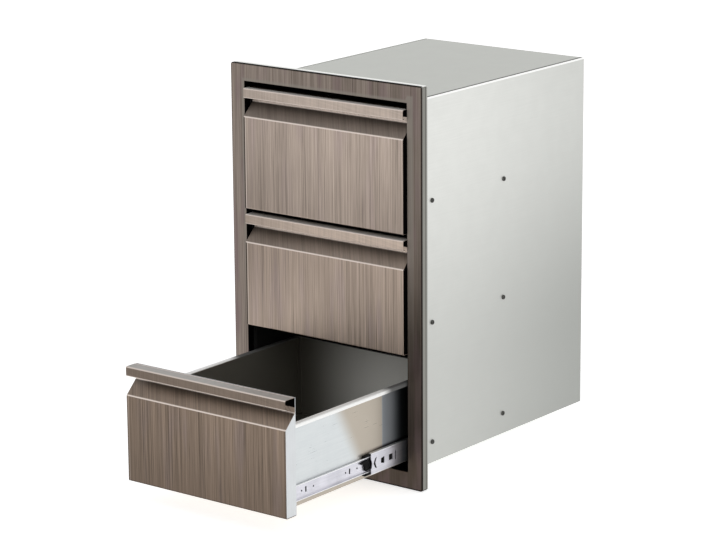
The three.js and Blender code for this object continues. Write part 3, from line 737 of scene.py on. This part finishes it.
# The top and bottom are the sides' steel painted darker, as painted shade.
TOP_SHADED_LIGHT, TOP_SHADED_DARK = colour(194, 196, 190), colour(186, 188, 182)
SIDE_EDGE_HIGHLIGHT = colour(250, 250, 248)
lowest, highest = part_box("cabinet_back")
side_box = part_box("cabinet_side_right")
CABINET_INNER_HALF = highest.x + CABINET_SHEET / 2
CABINET_INNER_REAR = highest.y - CABINET_SHEET / 2
CABINET_INNER_BOTTOM, CABINET_INNER_TOP = lowest.z - CABINET_SHEET / 2, highest.z + CABINET_SHEET / 2
CABINET_FRONT, CABINET_SIDE_TOP = side_box[0].y, side_box[1].z


def cabinet_inside(finish):
    """Painted shade: 1 within the cabinet's panels and in the gap round its mouth."""
    ease, width = CABINET_EASE, abs(finish.x)
    inside = width.fall(CABINET_INNER_HALF - ease, CABINET_INNER_HALF + ease)
    inside = inside * finish.y.fall(CABINET_INNER_REAR - ease, CABINET_INNER_REAR + ease)
    inside = inside * finish.z.fall(CABINET_INNER_TOP - ease, CABINET_INNER_TOP + ease)
    inside = inside * finish.z.rise(CABINET_INNER_BOTTOM - ease, CABINET_INNER_BOTTOM + ease)
    mouth = width.fall(*(CABINET_INNER_HALF + reach for reach in MOUTH_REACH))
    mouth = mouth * finish.y.fall(*(CABINET_FRONT + depth for depth in MOUTH_DEPTH))
    mouth = mouth * finish.z.fall(*(CABINET_INNER_TOP + reach for reach in MOUTH_REACH))
    return inside.most(mouth)


def side_steel():
    """Bare sheet of the sides and the back, with a painted reflection of a darker floor low down at the back,
    painted highlights on the top and front edge, and painted shade inside.
    """
    finish = bare_steel("bare steel of the sides", SIDE_LIGHT, SIDE_DARK)
    # Painted reflection of a darker floor, low down and towards the back.
    down = finish.z.fall(*FAR_DOWN)
    behind = finish.y.rise(*FAR_BACK) * (down * FAR_BOTH_SHARE + FAR_BACK_SHARE)
    base = finish.between(down * FAR_DOWN_SHARE + behind, finish.base, SIDE_FLOOR_REFLECTION)
    # Painted highlights along the side's top edge and front edge.
    bright = finish.z.rise(*(CABINET_SIDE_TOP - drop for drop in SIDE_TOP_EDGE))
    bright = bright.most(finish.y.fall(*SIDE_FRONT_EDGE) * SIDE_FRONT_SHARE)
    finish.set(base_color=finish.between(bright, base, SIDE_EDGE_HIGHLIGHT))
    finish.shadow(cabinet_inside(finish))
    return finish.material


def top_steel():
    """Bare sheet of the top and the bottom, painted darker than the sides as shade, with a painted shadow in
    the seam along the right side of the top.
    """
    finish = bare_steel("bare steel of the top", TOP_SHADED_LIGHT, TOP_SHADED_DARK)
    # Painted shadow in the seam beside the side panel's top edge.
    seam = finish.x.rise(*(CABINET_INNER_HALF - inset for inset in SEAM))
    seam = seam * finish.facing_z.rise(*FACING_UP) * SEAM_SHARE
    finish.shadow(cabinet_inside(finish).most(seam))
    return finish.material


give(side_steel(), "cabinet_side_left", "cabinet_side_right", "cabinet_back")
give(top_steel(), "cabinet_top", "cabinet_bottom")
print("bare steel on the cabinet, dark from", round(CABINET_INNER_HALF, 4), "m inwards")

# %% [markdown]
# ## Trays
# A tray is nearly a mirror. Outside, its walls show the pale room, then a warm and a cool field where they
# face the frame, and at last the dark cabinet. Inside they show mostly their own dark corners. These fields are
# painted as colours, as painted reflections and painted shade, at distances from the tray's own front end,
# because the few things that it would mirror aren't in the scene. The strip that the slide covers, the ledge
# above it and the rim where it runs into the cabinet carry painted shadow too, and the rim itself is painted
# white as a highlight.

# %% Tray steel
TRAY_HALF = 0.1533
TRAY_OUTER, TRAY_OUTER_DARK = colour(216, 220, 221), colour(205, 210, 212)
TRAY_RIM_HIGHLIGHT = colour(255, 255, 253)
TRAY_INNER_SHADED, TRAY_INNER_LIT = colour(88, 85, 77), colour(246, 245, 240)
TRAY_WARM, TRAY_COOL, TRAY_END = colour(181, 172, 159), colour(146, 151, 156), colour(30, 31, 32)
TRAY_ROUGHNESS, TRAY_METALLIC = 0.3, 0.6
# Steps beside the wall, below the top and above the foot, then fields counted from the tray's front end
WALL_INSIDE, WALL_OUTSIDE = (0.0008, 0.0003), (0.0002, 0.0004)
WALL_TOP, WALL_FOOT = (0.0015, 0.0008), (0.0003, 0.0008)
INNER_WIDTH, INNER_FROM, INNER_REAR = (-0.15, 0.05), 0.3, 0.004
WARM_LEAN, WARM_FIELD, COOL_FIELD, DARK_FIELD = 0.55, (0.17, 0.21), (0.231, 0.234), (0.25, 0.285)
UNDER_SLIDE = (0.0085, 0.0105)
COVERED_HALF, COVERED_END = (0.010, 0.0112), (0.388, 0.39)
LIP_SHADOW_DROP, LIP_SHADOW_WIDTH, LIP_SHADOW_SHARE = 0.0085, 0.0022, 0.6
RIM_DARK, RIM_DARK_SHARE = (0.219, 0.249), 0.85
LEDGE_RISE, LEDGE_LINE, LEDGE_FIELD, LEDGE_SHARE = 0.0185, 0.011, (0.18, 0.25), 0.9


def slide_height(drawer):
    """Height of the middle of a drawer's slides."""
    lowest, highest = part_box(f"{drawer}_left_drawer_member")
    return (lowest.z + highest.z) / 2


def tray_outside(finish, lowest, highest, slide_shade):
    """Colour of a tray's outer wall: pale, then painted reflections in its warm, cool and dark field, warm
    below the slide, painted shade behind the slide and a painted shadow under the rim's lip.
    """
    along = finish.y - lowest.y
    slant = along + (finish.z - lowest.z) * WARM_LEAN
    cool = along.rise(*COOL_FIELD)
    outer = finish.between(slant.rise(*WARM_FIELD) * (1 - cool), finish.base, TRAY_WARM)
    outer = finish.between(cool, outer, TRAY_COOL)
    outer = finish.between(along.rise(*DARK_FIELD), outer, TRAY_END)
    under = finish.z.fall(*(lowest.z + rise for rise in UNDER_SLIDE))
    outer = finish.between(under, outer, TRAY_WARM)
    outer = finish.between(slide_shade, outer, TRAY_END)
    # Painted shadow: a cool dark line under the rim's lip.
    lip_shadow = finish.z.line(highest.z - LIP_SHADOW_DROP, LIP_SHADOW_WIDTH) * LIP_SHADOW_SHARE
    return finish.between(lip_shadow, outer, TRAY_COOL)


def tray_inside(finish, lowest, highest):
    """Painted shade on a tray's inner walls: dark, with painted light towards its right rear corner."""
    depth = finish.y.rise(lowest.y + INNER_FROM, highest.y - INNER_REAR)
    return finish.between(finish.x.rise(*INNER_WIDTH) * depth, TRAY_INNER_SHADED, TRAY_INNER_LIT)


def tray_steel(name, drawer):
    """Tray sheet: pale outside with painted reflections on its side, rims painted white as a highlight, painted
    shade within, and painted shadows behind the slide, on the ledge above it and on the far rim.
    """
    finish = bare_steel(name, TRAY_OUTER, TRAY_OUTER_DARK, roughness=TRAY_ROUGHNESS)
    lowest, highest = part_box(f"{drawer}_tray")
    width, centre = abs(finish.x), slide_height(drawer)
    within = width.fall(*(TRAY_HALF - inset for inset in WALL_INSIDE))
    below = finish.z.fall(*(highest.z - drop for drop in WALL_TOP))
    above = finish.z.rise(*(lowest.z + rise for rise in WALL_FOOT))
    rim = width.rise(*(TRAY_HALF + reach for reach in WALL_OUTSIDE)).most(1 - below)
    # Painted shade on the strip that the slide covers.
    slide_shade = abs(finish.z - centre).fall(*COVERED_HALF)
    slide_shade = slide_shade * finish.y.fall(*(lowest.y + reach for reach in COVERED_END))
    # Painted highlight: the rims are painted white.
    outer = finish.between(rim, tray_outside(finish, lowest, highest, slide_shade), TRAY_RIM_HIGHLIGHT)
    inner = tray_inside(finish, lowest, highest)
    finish.set(base_color=finish.between(within * below * above, outer, inner))
    finish.set(metallic=(1 - within * below) * (1 - rim) * TRAY_METALLIC)
    # Painted shadows on the far rim, behind the slide and on the ledge above the slide.
    rim_shade = rim * finish.y.rise(*(lowest.y + reach for reach in RIM_DARK)) * RIM_DARK_SHARE
    ledge = finish.z.line(centre + LEDGE_RISE, LEDGE_LINE) * LEDGE_SHARE
    ledge = ledge * finish.y.rise(*(lowest.y + reach for reach in LEDGE_FIELD))
    finish.shadow(rim_shade.most(slide_shade.most(ledge) * (1 - within)))
    return finish.material


for drawer in DRAWERS:
    give(tray_steel(f"steel of the {drawer} tray", drawer), f"{drawer}_tray", f"{drawer}_tray_back")
print("tray steel on", len(DRAWERS), "trays")

# %% [markdown]
# ## Liners
# A liner closes a front from behind. What shows of it is the sliver of its flanges beside the window's edge
# and its inner side in the finger recess, and both are painted black as shade on a drawer that is shut. So is
# its upper edge, which would otherwise draw a bright line in the gap above the bar.

# %% Liner steel
LINER_LIGHT, LINER_DARK = colour(215, 218, 220), colour(205, 208, 210)
SHUT_FRONT, SHUT_REAR = (-0.008, -0.007), (0.006, 0.007)
RECESS_MARGIN = {"bottom": 0.0006, "middle": -0.0004, "top": -0.0004}
RECESS_EASE, RECESS_FOOT = 0.0002, 0.002
LINER_EDGE, LINER_REAR = (0.0012, 0.0006), (0.0006, 0.0003)


def liner_steel(name, drawer):
    """Bare sheet of a liner, with painted shade: black beside the window, in the recess and, on a shut drawer,
    on its edge.
    """
    finish = bare_steel(name, LINER_LIGHT, LINER_DARK, brush="z")
    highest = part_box(f"{drawer}_front_liner")[1]
    beside = finish.y.fall(*(FRAME_FRONT + depth for depth in SHUT_REAR))
    beside = beside * finish.y.rise(*(FRAME_FRONT + depth for depth in SHUT_FRONT))
    half = highest.x - RECESS_MARGIN[drawer]
    foot = highest.z - FRONT_BEND_DROP
    upper_edge = finish.z.rise(*(highest.z - drop for drop in LINER_EDGE))
    in_recess = abs(finish.x).fall(half - RECESS_EASE, half) * finish.z.rise(foot - RECESS_FOOT, foot)
    in_recess = in_recess * (1 - upper_edge) * finish.y.fall(*(highest.y - inset for inset in LINER_REAR))
    black_gaps = beside.most(in_recess)
    finish.shadow(black_gaps if drawer == "bottom" else black_gaps.most(upper_edge))
    return finish.material


for drawer in DRAWERS:
    give(liner_steel(f"steel of the {drawer} liner", drawer), f"{drawer}_front_liner")
print("black gaps on", len(DRAWERS), "liners")

# %% [markdown]
# ## Slides
# The slides are zinc plated and rolled: bright, bluish, with fine lines along their length. Their stamped
# holes are in the solids. The finish adds the lines and paints highlights on the web where the races bend out
# of it. The rear end of the bottom middle member, which is the one drawn out, has painted shade where it runs
# into the cabinet.

# %% Plated steel
PLATE_WEB, PLATE_WEB_DARK = colour(224, 223, 231), colour(192, 192, 200)
PLATE_EDGE, PLATE_SHADE = colour(238, 238, 240), colour(58, 60, 62)
PLATE_EASE = 0.001
PLATE_ROUGHNESS, PLATE_METALLIC = 0.3, 0.8
RACE_EDGES = {"cabinet_member": 0.0205, "middle_member": 0.0162, "drawer_member": 0.0113}
SHADED_MEMBER, SHADE_FIELD, SHADE_SHARE = ("bottom", "middle_member"), (-0.056, -0.016), 0.85
SIDES = {"left": -1, "right": 1}


def plated_steel(name, centre, edge, shaded):
    """Zinc plate with rolled lines along y, painted highlights from that distance above and below its middle
    height, and painted shade at the rear end of the shaded member.
    """
    finish = bare_steel(name, PLATE_WEB, PLATE_WEB_DARK, PLATE_ROUGHNESS, PLATE_METALLIC)
    # Painted highlights on the races' bends.
    at_edge = abs(finish.z - centre).rise(edge, edge + PLATE_EASE)
    base = finish.between(at_edge, finish.base, PLATE_EDGE)
    # Painted shade where the drawn-out member runs into the cabinet.
    if shaded:
        base = finish.between(finish.y.rise(*SHADE_FIELD) * SHADE_SHARE, base, PLATE_SHADE)
    finish.set(base_color=base)
    return finish.material


for drawer in DRAWERS:
    for member, edge in RACE_EDGES.items():
        name = f"plated steel of the {drawer} {member}".replace("_", " ")
        plate = plated_steel(name, slide_height(drawer), edge, (drawer, member) == SHADED_MEMBER)
        give(plate, *(f"{drawer}_{side}_{member}" for side in SIDES))
print("plated steel on", len(DRAWERS) * len(SIDES) * len(RACE_EDGES), "members")

# %% [markdown]
# ## Screws
# Each slide hangs on pan-head screws with a cross recess. The head is a height over a disc: flat, rounded at
# the rim and pressed in where the distance to either arm of the cross is small. One grid in radius and angle
# holds it all.

# %% Screw heads
SCREW_RADIUS = 0.0039
SCREW_HEIGHT = 0.0022
SCREW_EASE = 0.0009
RECESS_HALF_WIDTH = 0.00055
RECESS_REACH = 0.0023
RECESS_DEPTH = 0.0014
RECESS_SLOPE = 0.0002
SCREW_RINGS, RIM_STEPS, SCREW_SECTORS = 18, 6, 64
FIRST_TURN, NEXT_TURN = 0.35, 0.7
SCREW_DENSITY = (900, 900, 900)
GRAIN_ROUGHNESS = 0.3


def speckled(name, density, dark, light, roughness, detail=2.0, **constants):
    """A finish between two close colours by a fine noise, and rougher where it is lighter."""
    finish = Finish(name, **constants)
    finish.grain = finish.speckle(*density, detail=detail)
    finish.set(base_color=finish.between(finish.grain, dark, light))
    finish.set(roughness=finish.grain * GRAIN_ROUGHNESS + roughness)
    return finish


def soft_step(value, start, end):
    """0 before start, 1 after end, with a cubic between them: 3t^2 - 2t^3."""
    share = np.clip((value - start) / (end - start), 0, 1)
    return share * share * (3 - 2 * share)


def screw_head(turn):
    """Grid of (height, along, up) of a pan head: a disc with a quarter circle for a rim, less the recess."""
    quarter = np.linspace(0, math.pi / 2, RIM_STEPS)[1:]
    flat = np.linspace(0, SCREW_RADIUS - SCREW_EASE, SCREW_RINGS)
    radius = np.concatenate([flat, SCREW_RADIUS - SCREW_EASE * (1 - np.sin(quarter)), [SCREW_RADIUS]])
    drop = np.concatenate([np.zeros(SCREW_RINGS), SCREW_EASE * (1 - np.cos(quarter)), [SCREW_HEIGHT]])
    angle = np.linspace(0, 2 * math.pi, SCREW_SECTORS, endpoint=False)
    arm = np.minimum(abs(np.cos(angle)), abs(np.sin(angle)))
    to_arm, along_arm = radius[:, None] * arm, radius[:, None] * np.sqrt(1 - arm ** 2)
    recess = 1 - soft_step(to_arm, RECESS_HALF_WIDTH, RECESS_HALF_WIDTH + RECESS_SLOPE)
    recess = recess * (1 - soft_step(along_arm, RECESS_REACH, RECESS_REACH + 2 * RECESS_SLOPE))
    height = (SCREW_HEIGHT - drop)[:, None] - RECESS_DEPTH * recess
    along, up = radius[:, None] * np.cos(angle + turn), radius[:, None] * np.sin(angle + turn)
    return np.stack([height, along, up], -1)


def screw(node, way, turn):
    """A screw head at the solid's place, on the left (way -1) or the right (way 1) side, that replaces it."""
    lowest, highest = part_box(node)
    height, along, up = np.moveaxis(screw_head(turn), -1, 0)
    foot = max(highest.x, -lowest.x) - SCREW_HEIGHT
    middle_y, middle_z = (lowest.y + highest.y) / 2, (lowest.z + highest.z) / 2
    points = np.stack([way * (foot + height), middle_y + along, middle_z + up], -1)
    faces = grid_faces(*height.shape, closed=True)[:, ::-way].tolist()
    base = (len(height) - 1) * SCREW_SECTORS + np.arange(SCREW_SECTORS)
    faces.append(base[::way])
    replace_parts(piece(f"cross_{node}", points, faces, "cabinet", "screw_steel", screw_steel), node)


screw_steel = speckled("dark screw steel", SCREW_DENSITY, colour(48, 48, 46), colour(98, 98, 94),
                       roughness=0.25, metallic=0.85).material
places = [(drawer, side, end) for drawer in DRAWERS for side in SIDES for end in ("front", "rear")]
for number, (drawer, side, end) in enumerate(places):
    screw(f"screw_{side}_{drawer}_{end}", SIDES[side], FIRST_TURN + NEXT_TURN * number)
print(len(places), "screws")

# %% [markdown]
# ## Ball retainers
# Between the middle and the drawer member a channel carries two rows of steel balls. It follows the drawer at
# half its travel. The channel is a thin dark strip, which is what shows through the holes of the middle
# member, and it ends in a black plastic nose that closes the race. Each of these is an outline drawn out, so
# helpers come first.

# %% Outlines drawn out
ROUNDED_CORNER = math.radians(40)
MERGE_DISTANCE = 1e-7


def joined(*parts):
    """Several (points, faces) as one: each part's faces count on from the points before it."""
    starts = np.cumsum([0] + [len(points) for points, _ in parts])
    points = np.concatenate([points for points, _ in parts])
    faces = [tuple(np.asarray(face) + start) for start, (_, own) in zip(starts, parts) for face in own]
    return points, faces


def capped(rings, count):
    """Faces of a tube of that many rings of count points each, closed at its first and last ring."""
    first = np.arange(count)
    return grid_faces(rings, count, closed=True).tolist() + [first[::-1], first + (rings - 1) * count]


def drawn_out(loop, near, far, place):
    """A closed outline drawn out from near to far. place turns (first, second, depth) into x, y and z."""
    depth, _ = np.meshgrid([near, far], loop[:, 0], indexing="ij")
    points = np.stack(place(np.tile(loop[:, 0], (2, 1)), np.tile(loop[:, 1], (2, 1)), depth), -1)
    return points.reshape(-1, 3), capped(2, len(loop))


def thick_line(line, thickness):
    """Outline of a sheet: the line moved to both sides by half its thickness along its own normal."""
    along = np.gradient(line, axis=0)
    normal = np.stack([-along[:, 1], along[:, 0]], -1) / np.linalg.norm(along, axis=1)[:, None]
    return np.concatenate([line + normal * thickness / 2, (line - normal * thickness / 2)[::-1]])


def outward(made):
    """Turns every face of a closed piece outwards."""
    mesh = bmesh.new()
    mesh.from_mesh(made.data)
    bmesh.ops.remove_doubles(mesh, verts=mesh.verts, dist=MERGE_DISTANCE)
    bmesh.ops.recalc_face_normals(mesh, faces=mesh.faces)
    mesh.to_mesh(made.data)
    mesh.free()
    return made


print("edges sharper than", round(math.degrees(ROUNDED_CORNER)), "degrees are rounded on mouldings")

# %% [markdown]
# The strip shows only as black through small holes, and its near black colour is painted shade; the moulded
# plastic is nearly as dark. Both are matt, with so little specular that the white room leaves no veil on them.

# %% Dark finishes
MATT_SPECULAR = 0.06
STRIP_DENSITY, PLASTIC_DENSITY = (200, 60, 400), (2200, 2200, 2200)
PLASTIC_DEPTH, PLASTIC_STRENGTH = 0.00003, 0.3

ball_steel = bare_steel("ball steel", PLATE_EDGE, PLATE_WEB, roughness=0.2, metallic=0.9).material
dark_strip = speckled("dark retainer strip", STRIP_DENSITY, colour(8, 8, 8), colour(22, 21, 21),
                      roughness=0.3, specular_ior_level=MATT_SPECULAR).material
plastic = speckled("black moulded plastic", PLASTIC_DENSITY, colour(7, 7, 8), colour(19, 19, 20),
                   roughness=0.35, detail=3.0, specular_ior_level=MATT_SPECULAR)
plastic.bump(plastic.grain, PLASTIC_DEPTH, PLASTIC_STRENGTH)
black = plastic.material
print("finishes:", ", ".join(material.name for material in (ball_steel, dark_strip, black)))

# %% [markdown]
# The sizes below are counted from the face that the slide is screwed to, towards the drawer, and up and down
# from the middle of the slide. The balls of one retainer are one array of spheres, all made at once.

# %% Ball retainers
SLIDE_SCREW_FACE = 0.166
RETAINER_WEB = 0.0069
RETAINER_REACH = 0.0105
RETAINER_SHEET = 0.0008
BALL_LINE = 0.0151
BALL_SET = 0.0089
BALL_RADIUS = 0.002
BALL_END = 0.012
BALLS_IN_ROW = 20
BALL_RINGS, BALL_SECTORS = 6, 10
NOSE_LENGTH = 0.022
NOSE_LAP = 0.003
NOSE_LOW, NOSE_HIGH = 0.0134, 0.0169
NOSE_IN, NOSE_OUT = 0.0064, 0.0118
NOSE_BRIDGE, NOSE_BRIDGE_START = 0.0076, 0.0012
NOSE_CUT, NOSE_CUT_DROP = 0.002, 0.0012
NOSE_ROUND = 0.0003


def balls(centres, radius):
    """Spheres about all the centres: radius times (sin a cos b, sin a sin b, cos a) on a grid of a and b."""
    turns = np.linspace(0, 2 * math.pi, BALL_SECTORS, endpoint=False)
    a, b = np.meshgrid(np.linspace(0, math.pi, BALL_RINGS), turns, indexing="ij")
    shell = radius * np.stack([np.sin(a) * np.cos(b), np.sin(a) * np.sin(b), np.cos(a)], -1).reshape(-1, 3)
    faces = grid_faces(BALL_RINGS, BALL_SECTORS, closed=True)[:, ::-1]
    shift = np.arange(len(centres))[:, None, None] * len(shell)
    return (centres[:, None] + shell).reshape(-1, 3), (faces + shift).reshape(-1, 4)


def retainer_strip(front, rear, place):
    """The folded channel: a web with two shelves that carry the balls, drawn out along y."""
    strip = rounded_line([
        (RETAINER_REACH, BALL_LINE), (RETAINER_WEB, BALL_LINE),
        (RETAINER_WEB, -BALL_LINE), (RETAINER_REACH, -BALL_LINE),
    ], RETAINER_SHEET)
    return drawn_out(thick_line(strip, RETAINER_SHEET), front, rear, lambda inward, up, y: place(inward, y, up))


def retainer_balls(front, rear, place):
    """Two rows of balls along the shelves."""
    along = np.linspace(front + BALL_END, rear - BALL_END, BALLS_IN_ROW)
    up, y = np.meshgrid([-BALL_LINE, BALL_LINE], along, indexing="ij")
    centres = np.stack(place(np.full_like(y, BALL_SET), y, up), -1).reshape(-1, 3)
    return balls(centres, BALL_RADIUS)


def retainer_nose(front, place):
    """Two tongues that close the races in front of the strip, and a bridge between them."""
    tip, root, start = front - NOSE_LENGTH, front + NOSE_LAP, front - NOSE_BRIDGE_START
    tongue = np.array([
        (root, NOSE_LOW), (root, NOSE_HIGH), (tip + NOSE_CUT, NOSE_HIGH),
        (tip, NOSE_HIGH - NOSE_CUT_DROP), (tip, NOSE_LOW),
    ])
    bridge = np.array([(start, -NOSE_LOW), (start, NOSE_LOW), (root, NOSE_LOW), (root, -NOSE_LOW)])
    outlines = ((tongue, NOSE_OUT), (tongue * (1, -1), NOSE_OUT), (bridge, NOSE_BRIDGE))
    return joined(*(drawn_out(outline, NOSE_IN, reach, lambda y, up, inward: place(inward, y, up))
                    for outline, reach in outlines))


def ball_retainer(drawer, side, way):
    """Strip, balls and nose of one retainer, at the place of its solid, which the strip replaces."""
    label, body = f"{drawer}_{side}", f"{drawer}_ball_retainers"
    lowest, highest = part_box(f"{label}_ball_retainer")
    middle = (lowest.z + highest.z) / 2

    def place(inward, y, up):
        return way * (SLIDE_SCREW_FACE - inward), y, middle + up

    strip = retainer_strip(lowest.y, highest.y, place)
    made = outward(piece(f"{label}_retainer_strip", *strip, body, "plated_steel", dark_strip))
    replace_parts(made, f"{label}_ball_retainer")
    rows = retainer_balls(lowest.y, highest.y, place)
    outward(piece(f"{label}_balls", *rows, body, "plated_steel", ball_steel))
    nose = retainer_nose(lowest.y, place)
    made = outward(piece(f"{label}_retainer_nose", *nose, body, "black_plastic", black))
    bevelled(made, "rounded edges", NOSE_ROUND, ROUNDED_CORNER)


for drawer in DRAWERS:
    for side, way in SIDES.items():
        ball_retainer(drawer, side, way)
print(2 * BALLS_IN_ROW, "balls in each of", len(DRAWERS) * len(SIDES), "retainers")

# %% [markdown]
# ## Release levers
# A black plastic lever on each slide unlocks the drawer. Its outline has a thumb pad and a springy arm. A few
# corner points are cut smooth, twice, as a designer rounds a moulding, and loops moved inwards round its
# edges.

# %% Release levers
LEVER_LENGTH, LEVER_HEIGHT = 0.026, 0.020
LEVER_ROUND = 0.0004
LEVER_SHARES = np.array([
    [-0.8, 0.32], [-0.82, 0.2], [-0.58, 0.22], [-0.44, 0.08], [-0.42, -0.42], [-0.3, -0.48],
    [-0.08, -0.44], [0.16, -0.3], [0.2, 0], [0.16, 0.28], [-0.1, 0.42], [-0.5, 0.4],
])
BOSS_RADIUS, BOSS_HEIGHT = 0.0026, 0.0005
ROUND_STEPS, BOSS_STEPS = 4, 24


def cut_smooth(loop):
    """Corner cutting: each side of a closed outline keeps its middle half, so every corner becomes two."""
    following = np.roll(loop, -1, axis=0)
    return np.stack([0.75 * loop + 0.25 * following, 0.25 * loop + 0.75 * following], 1).reshape(-1, 2)


def rounded_plate(loop, near, far, rounding, place):
    """A plate with quarter circles for edges: loops moved in by r(1 - sin a) at a height of r(1 - cos a)."""
    along = np.roll(loop, -1, axis=0) - np.roll(loop, 1, axis=0)
    outwards = np.stack([along[:, 1], -along[:, 0]], -1) / np.linalg.norm(along, axis=1)[:, None]
    outwards *= np.sign((outwards * (loop - loop.mean(0))).sum())
    angle = np.linspace(0, math.pi / 2, ROUND_STEPS)
    inset = rounding * (1 - np.sin(angle))
    rise = rounding * (1 - np.cos(angle))
    insets = np.concatenate([inset, inset[::-1]])
    depths = np.concatenate([near + rise, far - rise[::-1]])
    rings = loop[None] - outwards[None] * insets[:, None, None]
    depth = np.tile(depths[:, None], (1, len(loop)))
    points = np.stack(place(rings[..., 0], rings[..., 1], depth), -1).reshape(-1, 3)
    return points, capped(len(insets), len(loop))


def disc(radius):
    """Outline of a round boss: radius times (cos a, sin a)."""
    angle = np.linspace(0, 2 * math.pi, BOSS_STEPS, endpoint=False)
    return radius * np.stack([np.cos(angle), np.sin(angle)], -1)


def release_lever(drawer, side, way):
    """A lever plate with a boss on its pin, at the place of its solid, which it replaces."""
    node = f"{drawer}_{side}_release_lever"
    lowest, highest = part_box(node)
    pin_y = lowest.y - LEVER_SHARES[:, 0].min() * LEVER_LENGTH
    pin_z = lowest.z - LEVER_SHARES[:, 1].min() * LEVER_HEIGHT
    inner, outer = sorted((abs(lowest.x), abs(highest.x)))

    def place(along, up, depth):
        return way * depth, pin_y + along, pin_z + up

    outline = cut_smooth(cut_smooth(LEVER_SHARES * (LEVER_LENGTH, LEVER_HEIGHT)))
    plate = rounded_plate(outline, inner, outer, LEVER_ROUND, place)
    boss = rounded_plate(disc(BOSS_RADIUS), inner, outer + BOSS_HEIGHT, LEVER_ROUND, place)
    made = piece(f"rounded_{node}", *joined(plate, boss), f"{drawer}_{side}_lever", "black_plastic", black)
    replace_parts(outward(made), node)


for drawer in DRAWERS:
    for side, way in SIDES.items():
        release_lever(drawer, side, way)
print(len(DRAWERS) * len(SIDES), "levers")

# %% [markdown]
# ## Light and floor
# The world is white for the camera and for reflections, and only moderately bright as a lamp, so colours come
# out about as they are written. A wide lamp from the right lights the cabinet's side a little more than its
# front.

# %% Light
AMBIENT = 0.59
WHITE = (1, 1, 1, 1)
LAMPS = {
    "soft right": SimpleNamespace(place=(2.6, -1.6, 1.9), target=(0, 0.1, 0.3), size=1.8, power=7),
    "soft front": SimpleNamespace(place=(-0.8, -3.0, 1.8), target=(0, 0, 0.3), size=1.6, power=5),
}


def area_lamp(name, lamp):
    """A square lamp at a place, turned to look at a target."""
    data = bpy.data.lights.new(name, "AREA")
    data.size = lamp.size
    data.energy = lamp.power
    made = bpy.data.objects.new(name, data)
    made.matrix_world = (Vector(lamp.target) - Vector(lamp.place)).to_track_quat("-Z", "Y").to_matrix().to_4x4()
    made.matrix_world.translation = lamp.place
    scene.collection.objects.link(made)


world = bpy.data.worlds.new("studio")
scene.world = world
world.use_nodes = True
nodes, links = world.node_tree.nodes, world.node_tree.links
background = nodes["Background"]
background.inputs["Color"].default_value = WHITE
rays = nodes.new("ShaderNodeLightPath")
seen = nodes.new("ShaderNodeMath")
seen.operation = "MAXIMUM"
links.new(rays.outputs["Is Camera Ray"], seen.inputs[0])
links.new(rays.outputs["Is Glossy Ray"], seen.inputs[1])
strength = nodes.new("ShaderNodeMapRange")
strength.inputs["To Min"].default_value = AMBIENT
links.new(seen.outputs[0], strength.inputs["Value"])
links.new(strength.outputs[0], background.inputs["Strength"])
for name, lamp in LAMPS.items():
    area_lamp(name, lamp)
print(len(LAMPS), "lamps in a white room")

# %% Floor
FLOOR_HALF = 6.0
FLOOR_DROP = 0.0005
FLOOR_GLOW = 0.62
FLOOR_PALE = (0.9, 0.9, 0.9, 1)

floor_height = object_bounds()[0][2] - FLOOR_DROP
corners = [(way_x * FLOOR_HALF, way_y * FLOOR_HALF) for way_x, way_y in ((-1, -1), (1, -1), (1, 1), (-1, 1))]
mesh = bpy.data.meshes.new("floor")
mesh.from_pydata([(x, y, floor_height) for x, y in corners], [], [(0, 1, 2, 3)])
floor = bpy.data.objects.new("floor", mesh)
scene.collection.objects.link(floor)
floor_finish = Finish("floor", roughness=0.9, base_color=FLOOR_PALE, emission_color=WHITE)
floor_finish.set(emission_strength=FLOOR_GLOW)
mesh.materials.append(floor_finish.material)
scene.view_settings.view_transform = "Standard"
print("floor at", round(floor_height, 4))
